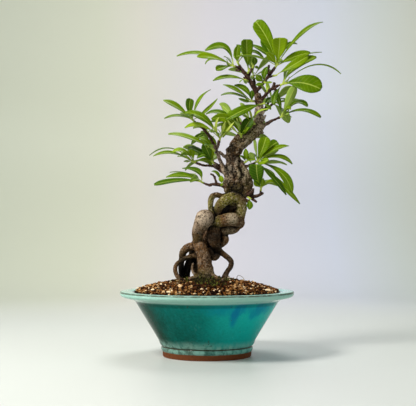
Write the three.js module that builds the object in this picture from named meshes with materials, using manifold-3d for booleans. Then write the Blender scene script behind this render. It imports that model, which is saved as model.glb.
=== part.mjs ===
// A firethorn bonsai in the exposed-root style, planted in a round glazed pot.
// Millimetres, +Z up. The origin lies on the pot's axis, on the surface that the foot ring stands on.
// The side that is seen first is -Y.
// Pieces: the pot, the two meshes over its drain holes and the wires that hold them, the soil, the wood, and
// one node for each leafy shoot, or for several where their leaves cross.
import * as THREE from "three";
import { mergeVertices } from "three/addons/utils/BufferGeometryUtils.js";
import Module from "manifold-3d";

const wasm = await Module();
wasm.setup();

// Driving dimensions
const POT_SIDES = 40; // facets round the pot and the soil
const RIM_RADIUS = 86.6; // outer edge of the flat rim
const RIM_HEIGHT = 64.4; // top of the rim above the surface
const RIM_INNER_RADIUS = 73; // mouth of the pot
const FOOT_RADIUS = 43.8;
const FOOT_INNER_RADIUS = 38.5;
const RECESS = 1.8; // the underside inside the foot ring is this far above the surface
const FLOOR_TOP = 7.5; // inside floor of the pot
const FLOOR_RADIUS = 38;
const GAP = 0.3; // clearance where two pieces touch
const DRAIN_RADIUS = 6.5;
const DRAIN_OFFSET = 19; // centre of each drain hole from the pot's axis
const MESH_SIDE = 20; // square of plastic mesh over a drain hole
const MESH_THICKNESS = 1.2;
const MESH_PITCH = 5.5; // spacing of the mesh's openings
const MESH_HOLE = 3.8;
const WIRE_RADIUS = 0.5;
const SOIL_EDGE_HEIGHT = 64.2; // soil where it meets the pot's mouth
const SOIL_RISE = 11.5; // height of the mound over its edge
const GRANULE_RELIEF = 1.5; // how far the granules stand up and sink in
const LEAF_THICKNESS = 0.9;
const LEAF_WIDTH_MAX = 0.56; // greatest width of a leaf, as a share of its length
const LEAF_FOLD = 0.22; // how far a leaf's edges rise over its midrib, as a share of its half width
const LIMB_STEP = 10.5; // length of a facet along the roots and the trunk
const TWIG_STEP = 16;
const SHOOT_LENGTH = 4; // green shoot that a whorl of leaves grows from
const SHOOT_RADIUS = 1.5;
const SPUR_RADIUS = 1.5; // woody spur under a shoot

// Directions that a leaf's upper face can look in
const UP = [0, 0, 1];
const FRONT = [0, -1, 0];
const UP_FRONT = [0, -0.7, 0.7];
const UP_BACK = [0, 0.6, 0.8];
const LEAN_FRONT = [0, -0.9, 0.42];
const STEEP_LEFT = [-0.6, -0.6, 0.5];
const BACK = [0, 1, 0.1];

// Roots and trunk: each limb is a list of x, y, z, radius, from the ground up or from the trunk outwards.
const FRONT_ROOT = [
  [3, -4, 58, 6], [1.5, -7, 68, 8.6], [0, -9, 76, 8.8], [-1.2, -10, 84, 7.8], [-2.4, -10.4, 93, 7],
  [-4, -10.8, 101, 6.4], [-5.8, -10.8, 107, 5.8], [-6.6, -9.8, 110.6, 4.6], [-6.8, -8.4, 112.6, 2.6],
];
const KNOB_LIMB = [
  [-2, -1, 94, 3.6], [-6, -4, 102, 5], [-8.6, -6.4, 110, 5.3], [-9.2, -8, 117.5, 5.4], [-9, -9, 124, 6.2],
  [-5.5, -12, 130.5, 7.8], [-2.6, -12, 136, 9], [-0.5, -6, 137, 8],
];
const UPPER_LIMB = [
  [-1, -7, 134, 7], [6, -6, 132.5, 5.6], [13, -8, 133.5, 5.8], [20, -9.5, 134.8, 6.4],
  [26.5, -8.5, 135.4, 6.8], [31.5, -3, 133.4, 5.8], [31, 5, 131, 5.2], [24, 11, 132, 5], [17, 12, 140, 5],
];
const RIGHT_ARCH = [
  [14, 7, 133, 4], [9.5, 1, 139.5, 4], [11, -5, 146.5, 4.4], [14.5, -10, 151.6, 4.9], [20, -12, 155.4, 5.2],
  [26.8, -11.5, 157.4, 5.2], [32.2, -10, 154.6, 4.9], [34.6, -8, 147.6, 4.8], [33.4, -6, 140, 4.8],
  [31.4, -2, 133, 4.6], [28.4, 1, 127.4, 4.6], [23, -2, 124.8, 4.7], [16.6, -3, 124.8, 4.5], [10, 1, 124, 4.6],
];
const THIN_LOOP = [
  [22, 3, 160, 3.4], [15.5, 0, 158.6, 2.7], [10, -2, 160, 2.8], [5.6, -3, 158.8, 2.9], [3.8, -3.4, 154, 2.8],
  [3.6, -4, 147.5, 2.7], [4.6, -5, 141.5, 2.9], [6.5, -5, 134, 3],
];
const CENTRE_ROOT = [
  [10, 2, 133, 5], [7.5, -3, 127.5, 6.4], [6.6, -6, 120.5, 7.2], [7.4, -5, 113.6, 6.2], [9.4, -3, 108.4, 4.4],
  [14, -1, 102.8, 2.9], [19.8, 0, 98.2, 2.7], [24.2, 0, 93.4, 2.6], [23.4, -1, 88.2, 2.5], [20, -1, 83.2, 2.5],
  [17.4, -1, 78, 2.7], [14, 0, 70, 2.6], [11, 1, 60, 2],
];
const RIGHT_LOBE = [
  [8, 5, 124, 4], [14.6, 1, 121, 4.1], [18, -1, 115.6, 4], [14.8, -1, 111.2, 3.6], [9, 3, 109, 3.8],
];
const LOW_LOBE = [
  [6, 2, 108, 4.4], [3, -2, 103, 3.7], [6.6, -3.4, 97.4, 3.3], [10.4, -1, 99.6, 3], [9, 3, 106, 3.2],
];
const LEFT_ARCH_ROOT = [
  [-6, 1, 110, 5], [-12, -1, 109, 4.4], [-18.6, 0, 107.6, 4.1], [-23.4, 1, 103.6, 3.8], [-25, 2, 97, 3.2],
  [-26, 3, 90, 2.8], [-26, 4, 83, 2.6], [-24, 5, 75, 2.6], [-20, 6, 62, 2],
];
const LEFT_THIN_ROOT = [
  [-6, -4, 98, 3], [-12.6, -5, 99.4, 2.4], [-19, -6, 97.8, 2.2], [-25.4, -6, 94.4, 2.2], [-30.6, -5, 90.4, 2.1],
  [-31.6, -5, 85.2, 2.1], [-29.6, -6, 79.4, 2.1], [-25.4, -8, 73.6, 2.2], [-20, -8, 62, 1.8],
];
const DARK_ROOT = [
  [-6, 4, 106, 4.4], [-12.5, 6, 101.6, 4.4], [-17, 8, 94, 4], [-20, 8, 86, 3.8], [-21, 7, 77, 4], [-17, 7, 62, 2.6],
];
const BACKBONE = [
  [29, 5, 164, 9], [25, 8, 152, 7], [19, 9, 142, 6.6], [12, 8, 131, 7], [6, 6, 121, 7], [0, 4, 111, 6.6],
  [-4, 5, 99, 6], [-5, 6, 86, 6.2], [-4, 6, 74, 6.8], [-1, 4, 58, 4],
];
const BACK_LOOP = [
  [31, 9, 154, 6], [26, 17, 143, 5.4], [13, 19, 133, 5.2], [-2, 17, 125, 5], [-10, 12, 114, 4.8],
  [-14, 13, 101, 4.4], [-12, 17, 88, 4], [-9, 19, 76, 4], [-6, 17, 62, 2.6],
];
const BACK_ROOT = [
  [32, 6, 145, 5], [24, 13, 132, 4.8], [14, 15, 119, 4.6], [4, 12, 108, 4.6], [1, 13, 96, 4], [1.6, 15, 85, 3.6],
  [3, 17, 75, 3.8], [4, 15, 62, 2.4],
];
const SURFACE_ROOTS = [
  [[-3, -13, 81, 3.4], [-8.6, -15, 79.2, 2], [-15.4, -16, 77.6, 1.7], [-21, -17, 75.2, 1.5], [-25, -18, 69, 1.2]],
  [[-2, -15, 79, 3.2], [-5.2, -18.6, 77.6, 2], [-7.6, -22, 75, 1.6], [-8.6, -25, 70, 1.4]],
  [[3, -13, 81, 3.4], [8.4, -16, 78.6, 2.2], [15, -17.6, 76.2, 1.8], [20.4, -18, 73.6, 1.5], [24, -18, 69, 1.2]],
  [[1, -15, 78, 3], [4.4, -20, 76.4, 2], [6.4, -25, 74, 1.6], [7, -28, 69, 1.3]],
  [[-13.6, -7, 92, 1.3], [-14.6, -9.6, 87, 1.2], [-13.4, -12, 82.6, 1.2], [-9, -13.6, 79.6, 1.3]],
  [[2.4, 16, 80, 3.4], [4, 22, 77, 2.4], [8, 29, 74, 1.8], [12, 33, 69, 1.3]],
  [[-9, 17, 80, 3.4], [-12, 24, 76.4, 2.2], [-14, 31, 73.4, 1.6], [-15, 35, 68, 1.3]],
];
const TRUNK = [
  [27, 3, 150, 7.6], [28, 2, 158, 10], [29, 1, 166, 11.4], [29.4, 0, 176, 10.8], [27.8, 0, 187, 8.8],
  [26.2, -1, 197, 6.9], [27.6, -1, 205, 7.2], [33.4, -1, 212.8, 7.4], [41, 0, 219.6, 7], [48.4, 0, 225.4, 6.4],
  [51.8, 0, 232, 5.2], [52.4, 0, 240, 4.2], [52.4, 0, 249, 3.6], [51.6, 0, 257, 3.4], [50.4, 0, 262, 3.2],
];
const TRUNK_LEFT = [
  [25, -2, 158, 4.6], [21.8, -5, 166, 4.8], [21.4, -6, 174, 4.8], [21.2, -5, 183, 4.4], [23.2, -3, 193, 3.8],
];
const TRUNK_RIGHT = [
  [34, -2, 158, 5], [38.2, -4, 165, 5.1], [40.4, -4, 173, 5], [37.6, -4, 182, 4.8], [31.6, -3, 192, 4],
];
const TRUNK_BACK = [
  [28, 8, 156, 6], [30, 12, 168, 6.4], [32, 10, 180, 5.8], [31, 5, 194, 5],
];
const BRANCHES = [
  // the long branch to the left pad
  [[22, -5, 178, 2.8], [13.3, -7, 193.5, 2.2], [9.6, -8, 204, 2], [3.6, -9, 215.6, 1.8], [-3, -10, 225, 1.6]],
  // its link from the middle of the trunk
  [[26, -3, 194, 2.6], [19.4, -4, 197.4, 2], [12, -7, 203, 1.7]],
  // the two lower branches on the left
  [[22, -3, 180, 2.4], [12.4, 0, 185.6, 1.9], [5.6, 2, 189.4, 1.7], [-2, 3, 189.6, 1.5]],
  [[22, -4, 166, 2.8], [13, -5, 170, 2.2], [8.4, -6, 170.6, 1.9], [2, -7, 169.4, 1.6]],
  // the bare, knobbly twig over the lowest one
  [[10, -6, 170, 1.6], [8, -7, 176, 1.3], [6, -8.4, 179.6, 1.1], [3.4, -9, 180.4, 1]],
  // right-hand twigs, from the top down
  [[52, -1, 226, 2.8], [58.4, -2, 230.6, 2.1], [65, -3, 234.2, 1.7]],
  [[35, -3, 187, 2.8], [40, -6, 188.6, 2], [44, -9, 189.8, 1.7]],
  [[38, -4, 162, 3.6], [44, -5, 158.6, 2.8], [50, -6, 158.8, 2], [56, -6.6, 162, 1.4]],
  [[42, -5, 158, 2.4], [45.4, -6, 162.4, 1.9], [46, -7, 166.4, 1.5]],
  [[43, -5, 158, 2.4], [47, -6, 154.4, 1.7], [49.6, -6.6, 152.6, 1.2]],
  // the crown's fork
  [[50.4, 0, 261, 3.2], [47.6, 0, 267, 2.8], [43, -2, 274.6, 2.3], [38, -4, 281.6, 2.2], [34, -5, 286.6, 2]],
  [[48.6, 0, 264.4, 2.9], [55, -1, 270.8, 2.1], [60.4, -2, 277.6, 1.9], [65, -3, 283.6, 1.7]],
  [[52, 0, 254, 2.8], [57, -1, 258.4, 2.3], [62.6, -3, 264.6, 2.1], [68.4, -4, 268.2, 1.8]],
  [[65, -3, 265.6, 1.7], [66.8, -4.4, 269.6, 1.3], [67.4, -5, 272, 1.1]],
  [[62, -2, 279.4, 1.6], [61.6, -3, 284, 1.3], [62, -3.6, 290, 1]],
  // branches to the back of the tree
  [[30, 2, 200, 3.2], [32, 12, 207, 2.3], [35, 21, 213, 1.9]],
  [[46, 1, 223, 3], [40, 11, 230, 2.2], [33, 19, 235, 1.8]],
  [[52, 1, 243, 2.6], [58, 10, 247, 2], [63, 17, 251, 1.7]],
  [[48, 1, 264, 2.4], [48.6, 9, 270, 1.9], [48, 15, 276, 1.6]],
  [[33, 4, 180, 3.2], [40, 13, 183, 2.3], [47, 20, 187, 1.9]],
  [[24, 3, 184, 2.8], [14, 11, 189, 2.1], [6, 17, 194, 1.7]],
];
const STUBS = [
  [[54, -1, 234, 1.8], [57, -2.4, 236.6, 1.5], [58.4, -3, 239.6, 1.1]],
  [[52, -1, 224, 2.4], [56.6, -1.4, 222, 1.3]],
  [[10, -7, 203, 1.5], [6.6, -8, 203.6, 1]],
  [[40, -1, 217, 2.4], [37, -5, 222, 1.5], [36.6, -6, 224.4, 1.1]],
];

// A leafy shoot grows on a spur that runs from a branch to the point "at".
// Each of its leaves is listed as tip, a point half way along the midrib, width, where the upper face looks, and how
// blunt its tip is: 0 is pointed, 1 is round and 2 is cut off. The last can be left out.
const SHOOTS = [
  { name: "crown_left_outer", from: [34, -5, 286.6], at: [28, -5.6, 288.4], leaves: [
    [[-30, -14, 297.4], [-3, -12, 300.2], 6.5, UP_FRONT],
    [[-9.8, -18, 296], [7.4, -13, 296.2], 8.5, UP_FRONT],
    [[-2, -4, 304.8], [18, -5, 308], 9, UP_FRONT],
    [[-2, 4, 292.6], [8, 0, 297.4], 5, UP_FRONT],
    [[9.4, -14, 283], [15.4, -10, 286.8], 8, UP_FRONT],
    [[17, 9, 301], [21.6, 4, 298], 4.5, UP],
  ] },
  { name: "crown_left_inner", from: [34.4, -5, 286.4], at: [32, -6, 290], leaves: [
    [[31.7, -9, 309.6], [29.8, -9, 300.2], 7, FRONT],
    [[57, 3, 299], [43.6, 0, 304.6], 6, UP_FRONT],
    [[38, 20, 306], [34, 8, 304], 8, UP_BACK],
  ] },
  { name: "crown_left_stalk", from: [39.6, -3, 279], at: [41, -6, 282], leaves: [
    [[39.3, -18, 313.2], [39.8, -13.4, 297.6], 12.5, FRONT, 2],
  ] },
  { name: "crown_left_twig", from: [41, -3, 277.6], at: [45.2, -4.6, 286.4], leaves: [
    [[46, -9, 297], [47.8, -8, 292.6], 5.5, FRONT],
    [[51, -7, 286], [49, -6.4, 287.8], 4, UP_FRONT],
    [[29.8, 8, 313], [39, 3, 304], 6, FRONT],
  ] },
  { name: "crown_top", from: [65, -3, 283.6], at: [68.4, -3.6, 288], leaves: [
    [[48.8, -3, 334.6], [61.8, -4, 313.6], 14, FRONT, 1.4],
    [[72.2, -15, 315.4], [71.6, -9, 303.2], 16.5, FRONT, 2],
    [[117, 0, 334.6], [93.6, -1, 321.4], 6, UP_FRONT],
    [[91.8, 9, 314], [80.4, 5, 311], 4.5, UP_FRONT],
    [[56, 10, 321], [62, 5, 307], 9, FRONT],
    [[41, 3, 312.6], [57.6, 1, 304.8], 7, UP_FRONT],
    [[29, -20, 296], [50.4, -14, 296.2], 6, UP],
    [[103.4, -5, 302.6], [85.4, -6, 297.4], 9.5, LEAN_FRONT],
    [[117, 12, 306.4], [94, 8, 301.6], 6, UP],
    [[59, -13, 301], [64.4, -9, 296.2], 7, FRONT],
  ] },
  { name: "crown_right_knob", from: [61.4, -2.4, 278.6], at: [66.2, -5.6, 279], leaves: [
    [[100.4, -14, 297.2], [84.8, -13, 288.2], 9.5, LEAN_FRONT],
  ] },
  { name: "crown_centre_front", from: [56, -1.4, 272.4], at: [57.2, -6, 272], leaves: [
    [[48.8, -12, 278.4], [52.4, -11, 275.2], 6.5, FRONT],
    [[60.2, -12, 287.2], [56.8, -11, 279.6], 6, FRONT],
    [[48.4, -15, 268.2], [53, -12.6, 269.6], 4.5, UP_FRONT],
  ] },
  { name: "crown_right", from: [68.4, -4, 268.2], at: [73.6, -5, 270], leaves: [
    [[109.6, -4, 298.2], [89.4, -6, 289.4], 10, LEAN_FRONT],
    [[135, 2, 282.4], [107.4, -2, 290.4], 6, UP],
    [[112.4, -18, 265], [93.6, -14, 271.6], 16.5, LEAN_FRONT, 0.8],
    [[66.4, -14, 248.6], [67.6, -12, 258.4], 6, FRONT],
    [[90, 22, 296], [82, 10, 287], 9, UP_FRONT],
  ] },
  { name: "right_twig", from: [65, -3, 234.2], at: [72.6, -4.4, 237.4], leaves: [
    [[88.6, -8, 269.4], [81.6, -9, 254.4], 9.5, BACK],
    [[67, -2, 264.2], [72.4, -3, 253.6], 4.5, FRONT],
    [[113.4, -8, 237], [94.2, -7, 244.6], 6.5, UP_FRONT, 1],
    [[100.6, -3, 248.6], [88.8, -2, 252.8], 8, UP_FRONT, 0.8],
    [[82.8, -14, 244.2], [79.2, -9.4, 246], 5.5, UP_FRONT],
    [[84, 30, 250], [79, 14, 248], 8, UP],
  ] },
  { name: "left_fork_spur", from: [44, -1.4, 273], at: [40.6, -5, 274], leaves: [
    [[5.8, -10, 273.6], [22.6, -9, 277.6], 7, UP_FRONT],
    [[52, 20, 281], [47, 9, 278.6], 7, UP],
  ] },
  { name: "trunk_top_spur", from: [51.8, 0, 254.6], at: [46.6, -4.4, 253.6], leaves: [
    [[15.8, -12, 269.4], [30.6, -10, 263.4], 7, UP_FRONT],
    [[27.4, -3, 270], [38.8, -4, 265.4], 6.5, UP_FRONT],
    [[13.8, -14, 258.4], [28.6, -11, 259.8], 6, UP_FRONT],
    [[31.4, -17, 254.6], [38, -12.6, 252.8], 5.5, UP_FRONT],
    [[44.8, -12, 263.6], [44.4, -10, 258.4], 5.5, FRONT],
  ] },
  { name: "trunk_high_spur", from: [53, -1, 250.4], at: [55.4, -5.4, 250.8], leaves: [
    [[18.6, -20, 233.6], [38.4, -15, 244.4], 12, LEAN_FRONT],
    [[65.4, 5, 259], [61.6, -1, 255], 6.5, FRONT],
    [[63.2, -12, 244.4], [60.4, -10, 248], 4.5, UP_FRONT],
  ] },
  { name: "trunk_bend_spur", from: [50, -1, 231], at: [47.6, -6.4, 230.6], leaves: [
    [[35.2, -19, 237.6], [41.4, -13.6, 234.8], 4.5, UP_FRONT],
  ] },
  { name: "left_pad_outer", from: [-3, -10, 225], at: [-13, -11, 233], leaves: [
    [[-43.2, -16, 253.2], [-27.6, -14, 245.6], 9, UP_FRONT],
    [[-16.2, -18, 254.4], [-17.2, -15, 245], 8, FRONT, 1.5],
    [[3.6, -2, 266], [-8.4, -6, 253.6], 7, STEEP_LEFT],
    [[10.4, 2, 257.4], [-1.4, -4, 243.6], 6.5, STEEP_LEFT],
    [[-42.4, -13, 235.4], [-27.6, -12, 238.4], 5.5, UP_FRONT],
    [[-18, -35, 234.6], [-16, -23, 238], 7, UP],
    [[-26, 24, 243], [-20, 8, 242], 9, UP],
  ] },
  { name: "left_pad_inner", from: [3.6, -9, 215.6], at: [1.4, -4, 221.4], leaves: [
    [[-14, 26, 230], [-6, 12, 229], 8, UP],
    [[-15.6, -2, 210.6], [-8.4, -2, 218.8], 5.5, FRONT],
    [[24, 24, 234], [13, 10, 231], 9, UP],
    [[9, 6, 205.6], [5.2, 6, 216], 6, FRONT],
  ] },
  { name: "centre_pad_left", from: [9.6, -8, 204], at: [12.4, -12, 213.6], leaves: [
    [[-21.6, -16, 240.8], [-2.4, -19, 234.2], 10, UP_FRONT],
    [[-21.8, -27, 224.4], [-5.4, -22, 227.4], 6, UP_FRONT],
    [[20.4, -17, 234], [17.6, -15, 225.4], 9, FRONT],
    [[4, -38, 219], [9, -26, 220], 8, UP_FRONT],
  ] },
  { name: "centre_pad_right", from: [34, -3, 214], at: [34, -9, 217.4], leaves: [
    [[4.4, -21, 233.8], [21.8, -18, 233.6], 8.5, FRONT],
    [[-1, -12, 239.8], [16.8, -13, 239.4], 8, UP_FRONT],
    [[22.8, -10, 243.6], [28.6, -12.6, 231.6], 10, FRONT],
    [[44.2, -14, 235.6], [37.4, -13.4, 225.6], 11, FRONT],
    [[41.4, -19, 226], [37.4, -14.6, 221.8], 6.5, UP_FRONT],
    [[25, -40, 231], [29.6, -26, 228], 8, UP_FRONT],
  ] },
  { name: "long_left_leaf_spur", from: [11, -7.4, 200], at: [7.4, -11.6, 203.4], leaves: [
    [[-38.2, -17, 219.4], [-15.8, -17, 215.6], 9.5, UP_FRONT],
    [[-8.4, -9, 216.6], [0, -9.6, 213.6], 6, UP_FRONT],
    [[-2, -38, 206], [3, -25, 207.6], 8, UP_FRONT],
  ] },
  { name: "left_mid_spur", from: [12.4, 0, 185.6], at: [7.4, -3.6, 190.6], leaves: [
    [[-18.8, -10, 206.4], [-5.8, -9, 201.8], 11, UP_FRONT],
    [[-9.8, -14, 195.8], [-1.6, -11, 199.4], 7, UP_FRONT],
    [[-2.4, -14, 210.6], [0.6, -11, 203], 9.5, FRONT],
    [[5.6, -3, 207.2], [5.2, -4, 200.6], 4.5, FRONT],
    [[8, 22, 204], [7, 9, 200], 8, UP],
  ] },
  { name: "left_mid_tip", from: [-2, 3, 189.6], at: [-11.6, 4, 192.8], leaves: [
    [[-58.4, 6, 200.4], [-36.2, 6, 207.4], 5, UP],
    [[-54, -6, 198.4], [-34.8, -4, 202.2], 5, UP_FRONT],
    [[-34.6, -7, 202.8], [-22.4, -3, 203.8], 8, UP_FRONT],
    [[-15.6, -2, 205.8], [-14.4, 1, 200.6], 6, FRONT, 1.5],
    [[5, -3, 189.8], [-3, -1, 195.2], 6, UP_FRONT],
    [[-30, 26, 201], [-22, 14, 199], 8, UP],
  ] },
  { name: "left_low_tip", from: [2, -7, 169.4], at: [-3.6, -7.6, 171.8], leaves: [
    [[-52.2, -15, 169.6], [-26.6, -14, 174.2], 6.5, UP_FRONT, 1],
    [[-40.8, -6, 177.6], [-22.8, -7, 179.4], 6, UP_FRONT],
    [[-37.6, 5, 183.2], [-20.4, 2, 182], 5, UP],
    [[-24.8, -2, 186.6], [-9, -3, 183.6], 8, UP_FRONT],
    [[-16, -36, 171], [-10, -22, 175], 7, UP_FRONT],
    [[-22, 24, 182], [-14, 9, 180], 8, UP],
  ] },
  { name: "left_low_bud", from: [16, -5, 169], at: [15.4, -9.4, 170], leaves: [
    [[13.8, -15, 178.6], [14.2, -14, 174.2], 5, FRONT],
    [[4.4, -16, 182.8], [10.8, -14, 180], 5, UP_FRONT],
  ] },
  { name: "right_mid_tip", from: [44, -9, 189.8], at: [47.6, -11.6, 191.6], leaves: [
    [[58.6, -13, 217], [54.6, -13, 204.8], 12, FRONT, 1],
    [[70.6, -4, 213], [61.4, -7, 206], 10, LEAN_FRONT, 1],
    [[81.4, -11, 208.4], [65.6, -12, 204.4], 7, UP_FRONT],
    [[84.8, -8, 190.4], [70.2, -10, 198.2], 5.5, UP_FRONT],
    [[83.4, -18, 161.2], [72.4, -19, 181.4], 9, UP_FRONT],
    [[92, -10, 150.8], [72.4, -14, 171.2], 6, UP_FRONT],
    [[78.2, -15, 159.4], [65.8, -17, 175.6], 7, UP_FRONT],
    [[41.8, -17, 201], [44.8, -15, 197.2], 6, BACK],
    [[60.4, -24, 193.6], [54.4, -18.6, 191.8], 8, UP_FRONT],
  ] },
  { name: "right_mid_back", from: [34, -4, 190], at: [37.6, -9, 192], leaves: [
    [[38.4, -12, 205.4], [38.6, -11.6, 199], 5.5, FRONT],
    [[32.4, -16, 197.8], [36, -13.4, 196], 6, UP_FRONT],
    [[42.2, -15, 199.8], [41.4, -12.6, 195.6], 5, FRONT],
    [[48, 18, 202], [44, 5, 198], 8, UP],
  ] },
  { name: "right_low_tip", from: [53, -6.4, 160.4], at: [53.4, -8, 164.6], leaves: [
    [[48.4, -22, 189.2], [49.8, -16, 176.4], 16, FRONT, 2],
    [[72.2, -9, 168], [62.4, -9, 172.4], 8.5, UP_FRONT],
    [[54.6, -13, 175.8], [54.8, -12, 171.4], 5.5, FRONT],
    [[46.4, -15, 174], [50, -12, 170.2], 6, FRONT],
    [[64, 16, 176], [59, 5, 172], 8, UP],
  ] },
  { name: "right_low_drop", from: [39, -4.6, 158.6], at: [41, -7.2, 157.4], leaves: [
    [[42, -10, 145.2], [42.4, -9.4, 150.6], 7, FRONT],
  ] },
];

// Whorls on the far side of the tree, which no leaf list describes: a rule spreads the leaves round the spur.
const WHORLS = [
  { name: "back_low", from: [35, 21, 213], at: [37, 26, 217], count: 5, reach: 30 },
  { name: "back_left", from: [33, 19, 235], at: [30, 24, 235], count: 5, reach: 25 },
  { name: "back_right", from: [63, 17, 251], at: [67, 21, 254], count: 5, reach: 30 },
  { name: "back_top", from: [48, 15, 276], at: [47.6, 18.6, 281], count: 5, reach: 27 },
  { name: "back_right_low", from: [47, 20, 187], at: [52, 24, 190.6], count: 5, reach: 29 },
  { name: "back_left_low", from: [6, 17, 194], at: [1.4, 21, 198], count: 6, reach: 30 },
  { name: "back_middle", from: [40, 11, 230], at: [44, 17.6, 236], count: 4, reach: 25 },
  { name: "crown_right_back", from: [58, 10, 247], at: [62.6, 8, 254.6], count: 3, reach: 22 },
];

// A closed geometry as a solid.
function solidOf(geometry) {
  const plain = geometry.index ? geometry.toNonIndexed() : geometry.clone();
  plain.deleteAttribute("normal");
  plain.deleteAttribute("uv");
  const merged = mergeVertices(plain, 1e-4);
  return new wasm.Manifold(new wasm.Mesh({
    numProp: 3,
    vertProperties: merged.attributes.position.array,
    triVerts: new Uint32Array(merged.index.array),
  }));
}

function geometryOf(solid) {
  const made = solid.getMesh();
  const geometry = new THREE.BufferGeometry();
  geometry.setAttribute("position", new THREE.BufferAttribute(made.vertProperties, 3));
  geometry.setIndex(new THREE.BufferAttribute(made.triVerts, 1));
  return geometry;
}

const vector = (values) => new THREE.Vector3(values[0], values[1], values[2]);
const union = (solids) => wasm.Manifold.union(solids);

// The largest body of a solid: a loose scrap or a sealed hollow between grown-together limbs is left out.
const whole = (solid) => solid.decompose().sort((a, b) => b.volume() - a.volume())[0];

// Repeatable numbers from 0 to 1.
function randomSource(seed) {
  let state = seed;
  return () => {
    state = (state * 16807) % 2147483647;
    return state / 2147483647;
  };
}

// Bends a cylinder or cone that stands along Y, one unit long and one in radius: "ring" gives the place of the
// point at share t of the length, from the direction (across, along) on the unit circle.
function bend(geometry, ring) {
  const position = geometry.attributes.position;
  for (let i = 0; i < position.count; i += 1) {
    const t = position.getY(i) + 0.5;
    const place = ring(t, position.getX(i), position.getZ(i));
    position.setXYZ(i, place.x, place.y, place.z);
  }
  return geometry;
}

// A limb of changing thickness along a smooth curve through its points.
function limb(points, sides, step, grow = 0) {
  const curve = new THREE.CatmullRomCurve3(points.map(vector), false, "centripetal");
  const spans = points.length - 1;
  const rings = Math.max(spans, Math.round(curve.getLength() / step));
  const frames = [];
  let side = new THREE.Vector3(0.31, -0.93, 0.2);
  for (let i = 0; i <= rings; i += 1) {
    const tangent = curve.getTangent(i / rings);
    side = side.clone().addScaledVector(tangent, -side.dot(tangent)).normalize();
    frames.push({ centre: curve.getPoint(i / rings), side, over: tangent.clone().cross(side) });
  }
  frames[0].centre.addScaledVector(curve.getTangent(0), -grow);
  frames[rings].centre.addScaledVector(curve.getTangent(1), grow);
  const radiusAt = (t) => {
    const index = Math.min(spans - 1, Math.floor(t * spans));
    const share = t * spans - index;
    return points[index][3] * (1 - share) + points[index + 1][3] * share;
  };
  return solidOf(bend(new THREE.CylinderGeometry(1, 1, 1, sides, rings), (t, across, along) => {
    const frame = frames[Math.round(t * rings)];
    const lump = 1 + 0.05 * Math.sin(9 * t * spans + 5 * across) + 0.03 * Math.sin(17 * t * spans - 7 * along);
    const radius = radiusAt(t) * lump + grow;
    return frame.centre.clone().addScaledVector(frame.side, across * radius).addScaledVector(frame.over, -along * radius);
  }));
}

// Share of a leaf's length, and share of its full width there: a stalk, then widest beyond the middle.
const leafOutline = (blunt) => [[0, 0.14], [0.22, 0.2], [0.46 + 0.06 * blunt, 0.8], [0.7 + 0.11 * blunt, 1], [1, 0]];

// Broad leaves have round tips where nothing else is said.
const bluntness = (width) => Math.max(0, Math.min(1, (width - 7) / 5));

// A thin blade on a curve through its base, middle and tip. Its section has three corners: two edges and a keel.
function leafBlade(base, middle, tip, width, face, blunt) {
  const bow = middle.clone().multiplyScalar(2).addScaledVector(base, -0.5).addScaledVector(tip, -0.5);
  const midrib = new THREE.QuadraticBezierCurve3(base, bow, tip);
  const outline = leafOutline(blunt);
  const last = outline.length - 1;
  return solidOf(bend(new THREE.ConeGeometry(1, 1, 3, last), (t, across, along) => {
    const [share, wide] = outline[Math.round(t * last)];
    const tangent = midrib.getTangent(share);
    const side = tangent.clone().cross(face).normalize();
    const normal = side.clone().cross(tangent);
    const edge = Math.abs(across) > 1e-6 ? -Math.sign(across) : 0;
    const keel = along > 1e-6 ? 1 : 0;
    const half = (Math.min(width, LEAF_WIDTH_MAX * base.distanceTo(tip)) / 2) * wide;
    return midrib.getPoint(share)
      .addScaledVector(side, edge * half)
      .addScaledVector(normal, Math.abs(edge) * half * LEAF_FOLD - keel * LEAF_THICKNESS);
  }));
}

// The leaves of a whorl: spread round the spur by the golden angle, arching up and then over.
function whorlLeaves(whorl, seed) {
  const random = randomSource(seed);
  const axis = vector(whorl.at).sub(vector(whorl.from)).normalize();
  const side = new THREE.Vector3(-axis.y, axis.x, 0).normalize();
  const over = axis.clone().cross(side);
  const leaves = [];
  for (let k = 0; k < whorl.count; k += 1) {
    const turn = 2.4 * k + 0.5 * random();
    const lean = 0.75 + 0.45 * random();
    const length = whorl.reach * (0.8 + 0.35 * random());
    const width = length * (0.26 + 0.08 * random());
    const direction = axis.clone().multiplyScalar(Math.cos(lean))
      .addScaledVector(side, Math.cos(turn) * Math.sin(lean))
      .addScaledVector(over, Math.sin(turn) * Math.sin(lean));
    const middle = vector(whorl.at).addScaledVector(direction, length * 0.52);
    const tip = vector(whorl.at).addScaledVector(direction, length);
    middle.z += length * 0.13;
    tip.z += length * 0.04;
    leaves.push([tip.toArray(), middle.toArray(), width, [axis.x, axis.y, axis.z + 0.9]]);
  }
  return leaves;
}

// One shoot: a short green stem beyond its spur, with the leaves' stalks sunk in it.
function shootSolid(shoot, leaves) {
  const from = vector(shoot.from);
  const at = vector(shoot.at);
  const axis = at.clone().sub(from).normalize();
  const along = (distance) => at.clone().addScaledVector(axis, distance);
  const foot = along(GAP + 0.1);
  const top = along(SHOOT_LENGTH);
  const parts = [limb([[...foot, SHOOT_RADIUS], [...top, SHOOT_RADIUS * 0.7]], 4, SHOOT_LENGTH)];
  const base = along(SHOOT_LENGTH / 2);
  for (const [tip, middle, width, face, blunt = bluntness(width)] of leaves) {
    parts.push(leafBlade(base, vector(middle), vector(tip), width, vector(face), blunt));
  }
  return union(parts);
}

// A profile of radius and height turned round the Z axis.
function turned(profile) {
  const points = profile.map(([radius, height]) => new THREE.Vector2(radius, height));
  return new THREE.LatheGeometry(points, POT_SIDES).rotateX(Math.PI / 2);
}

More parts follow.
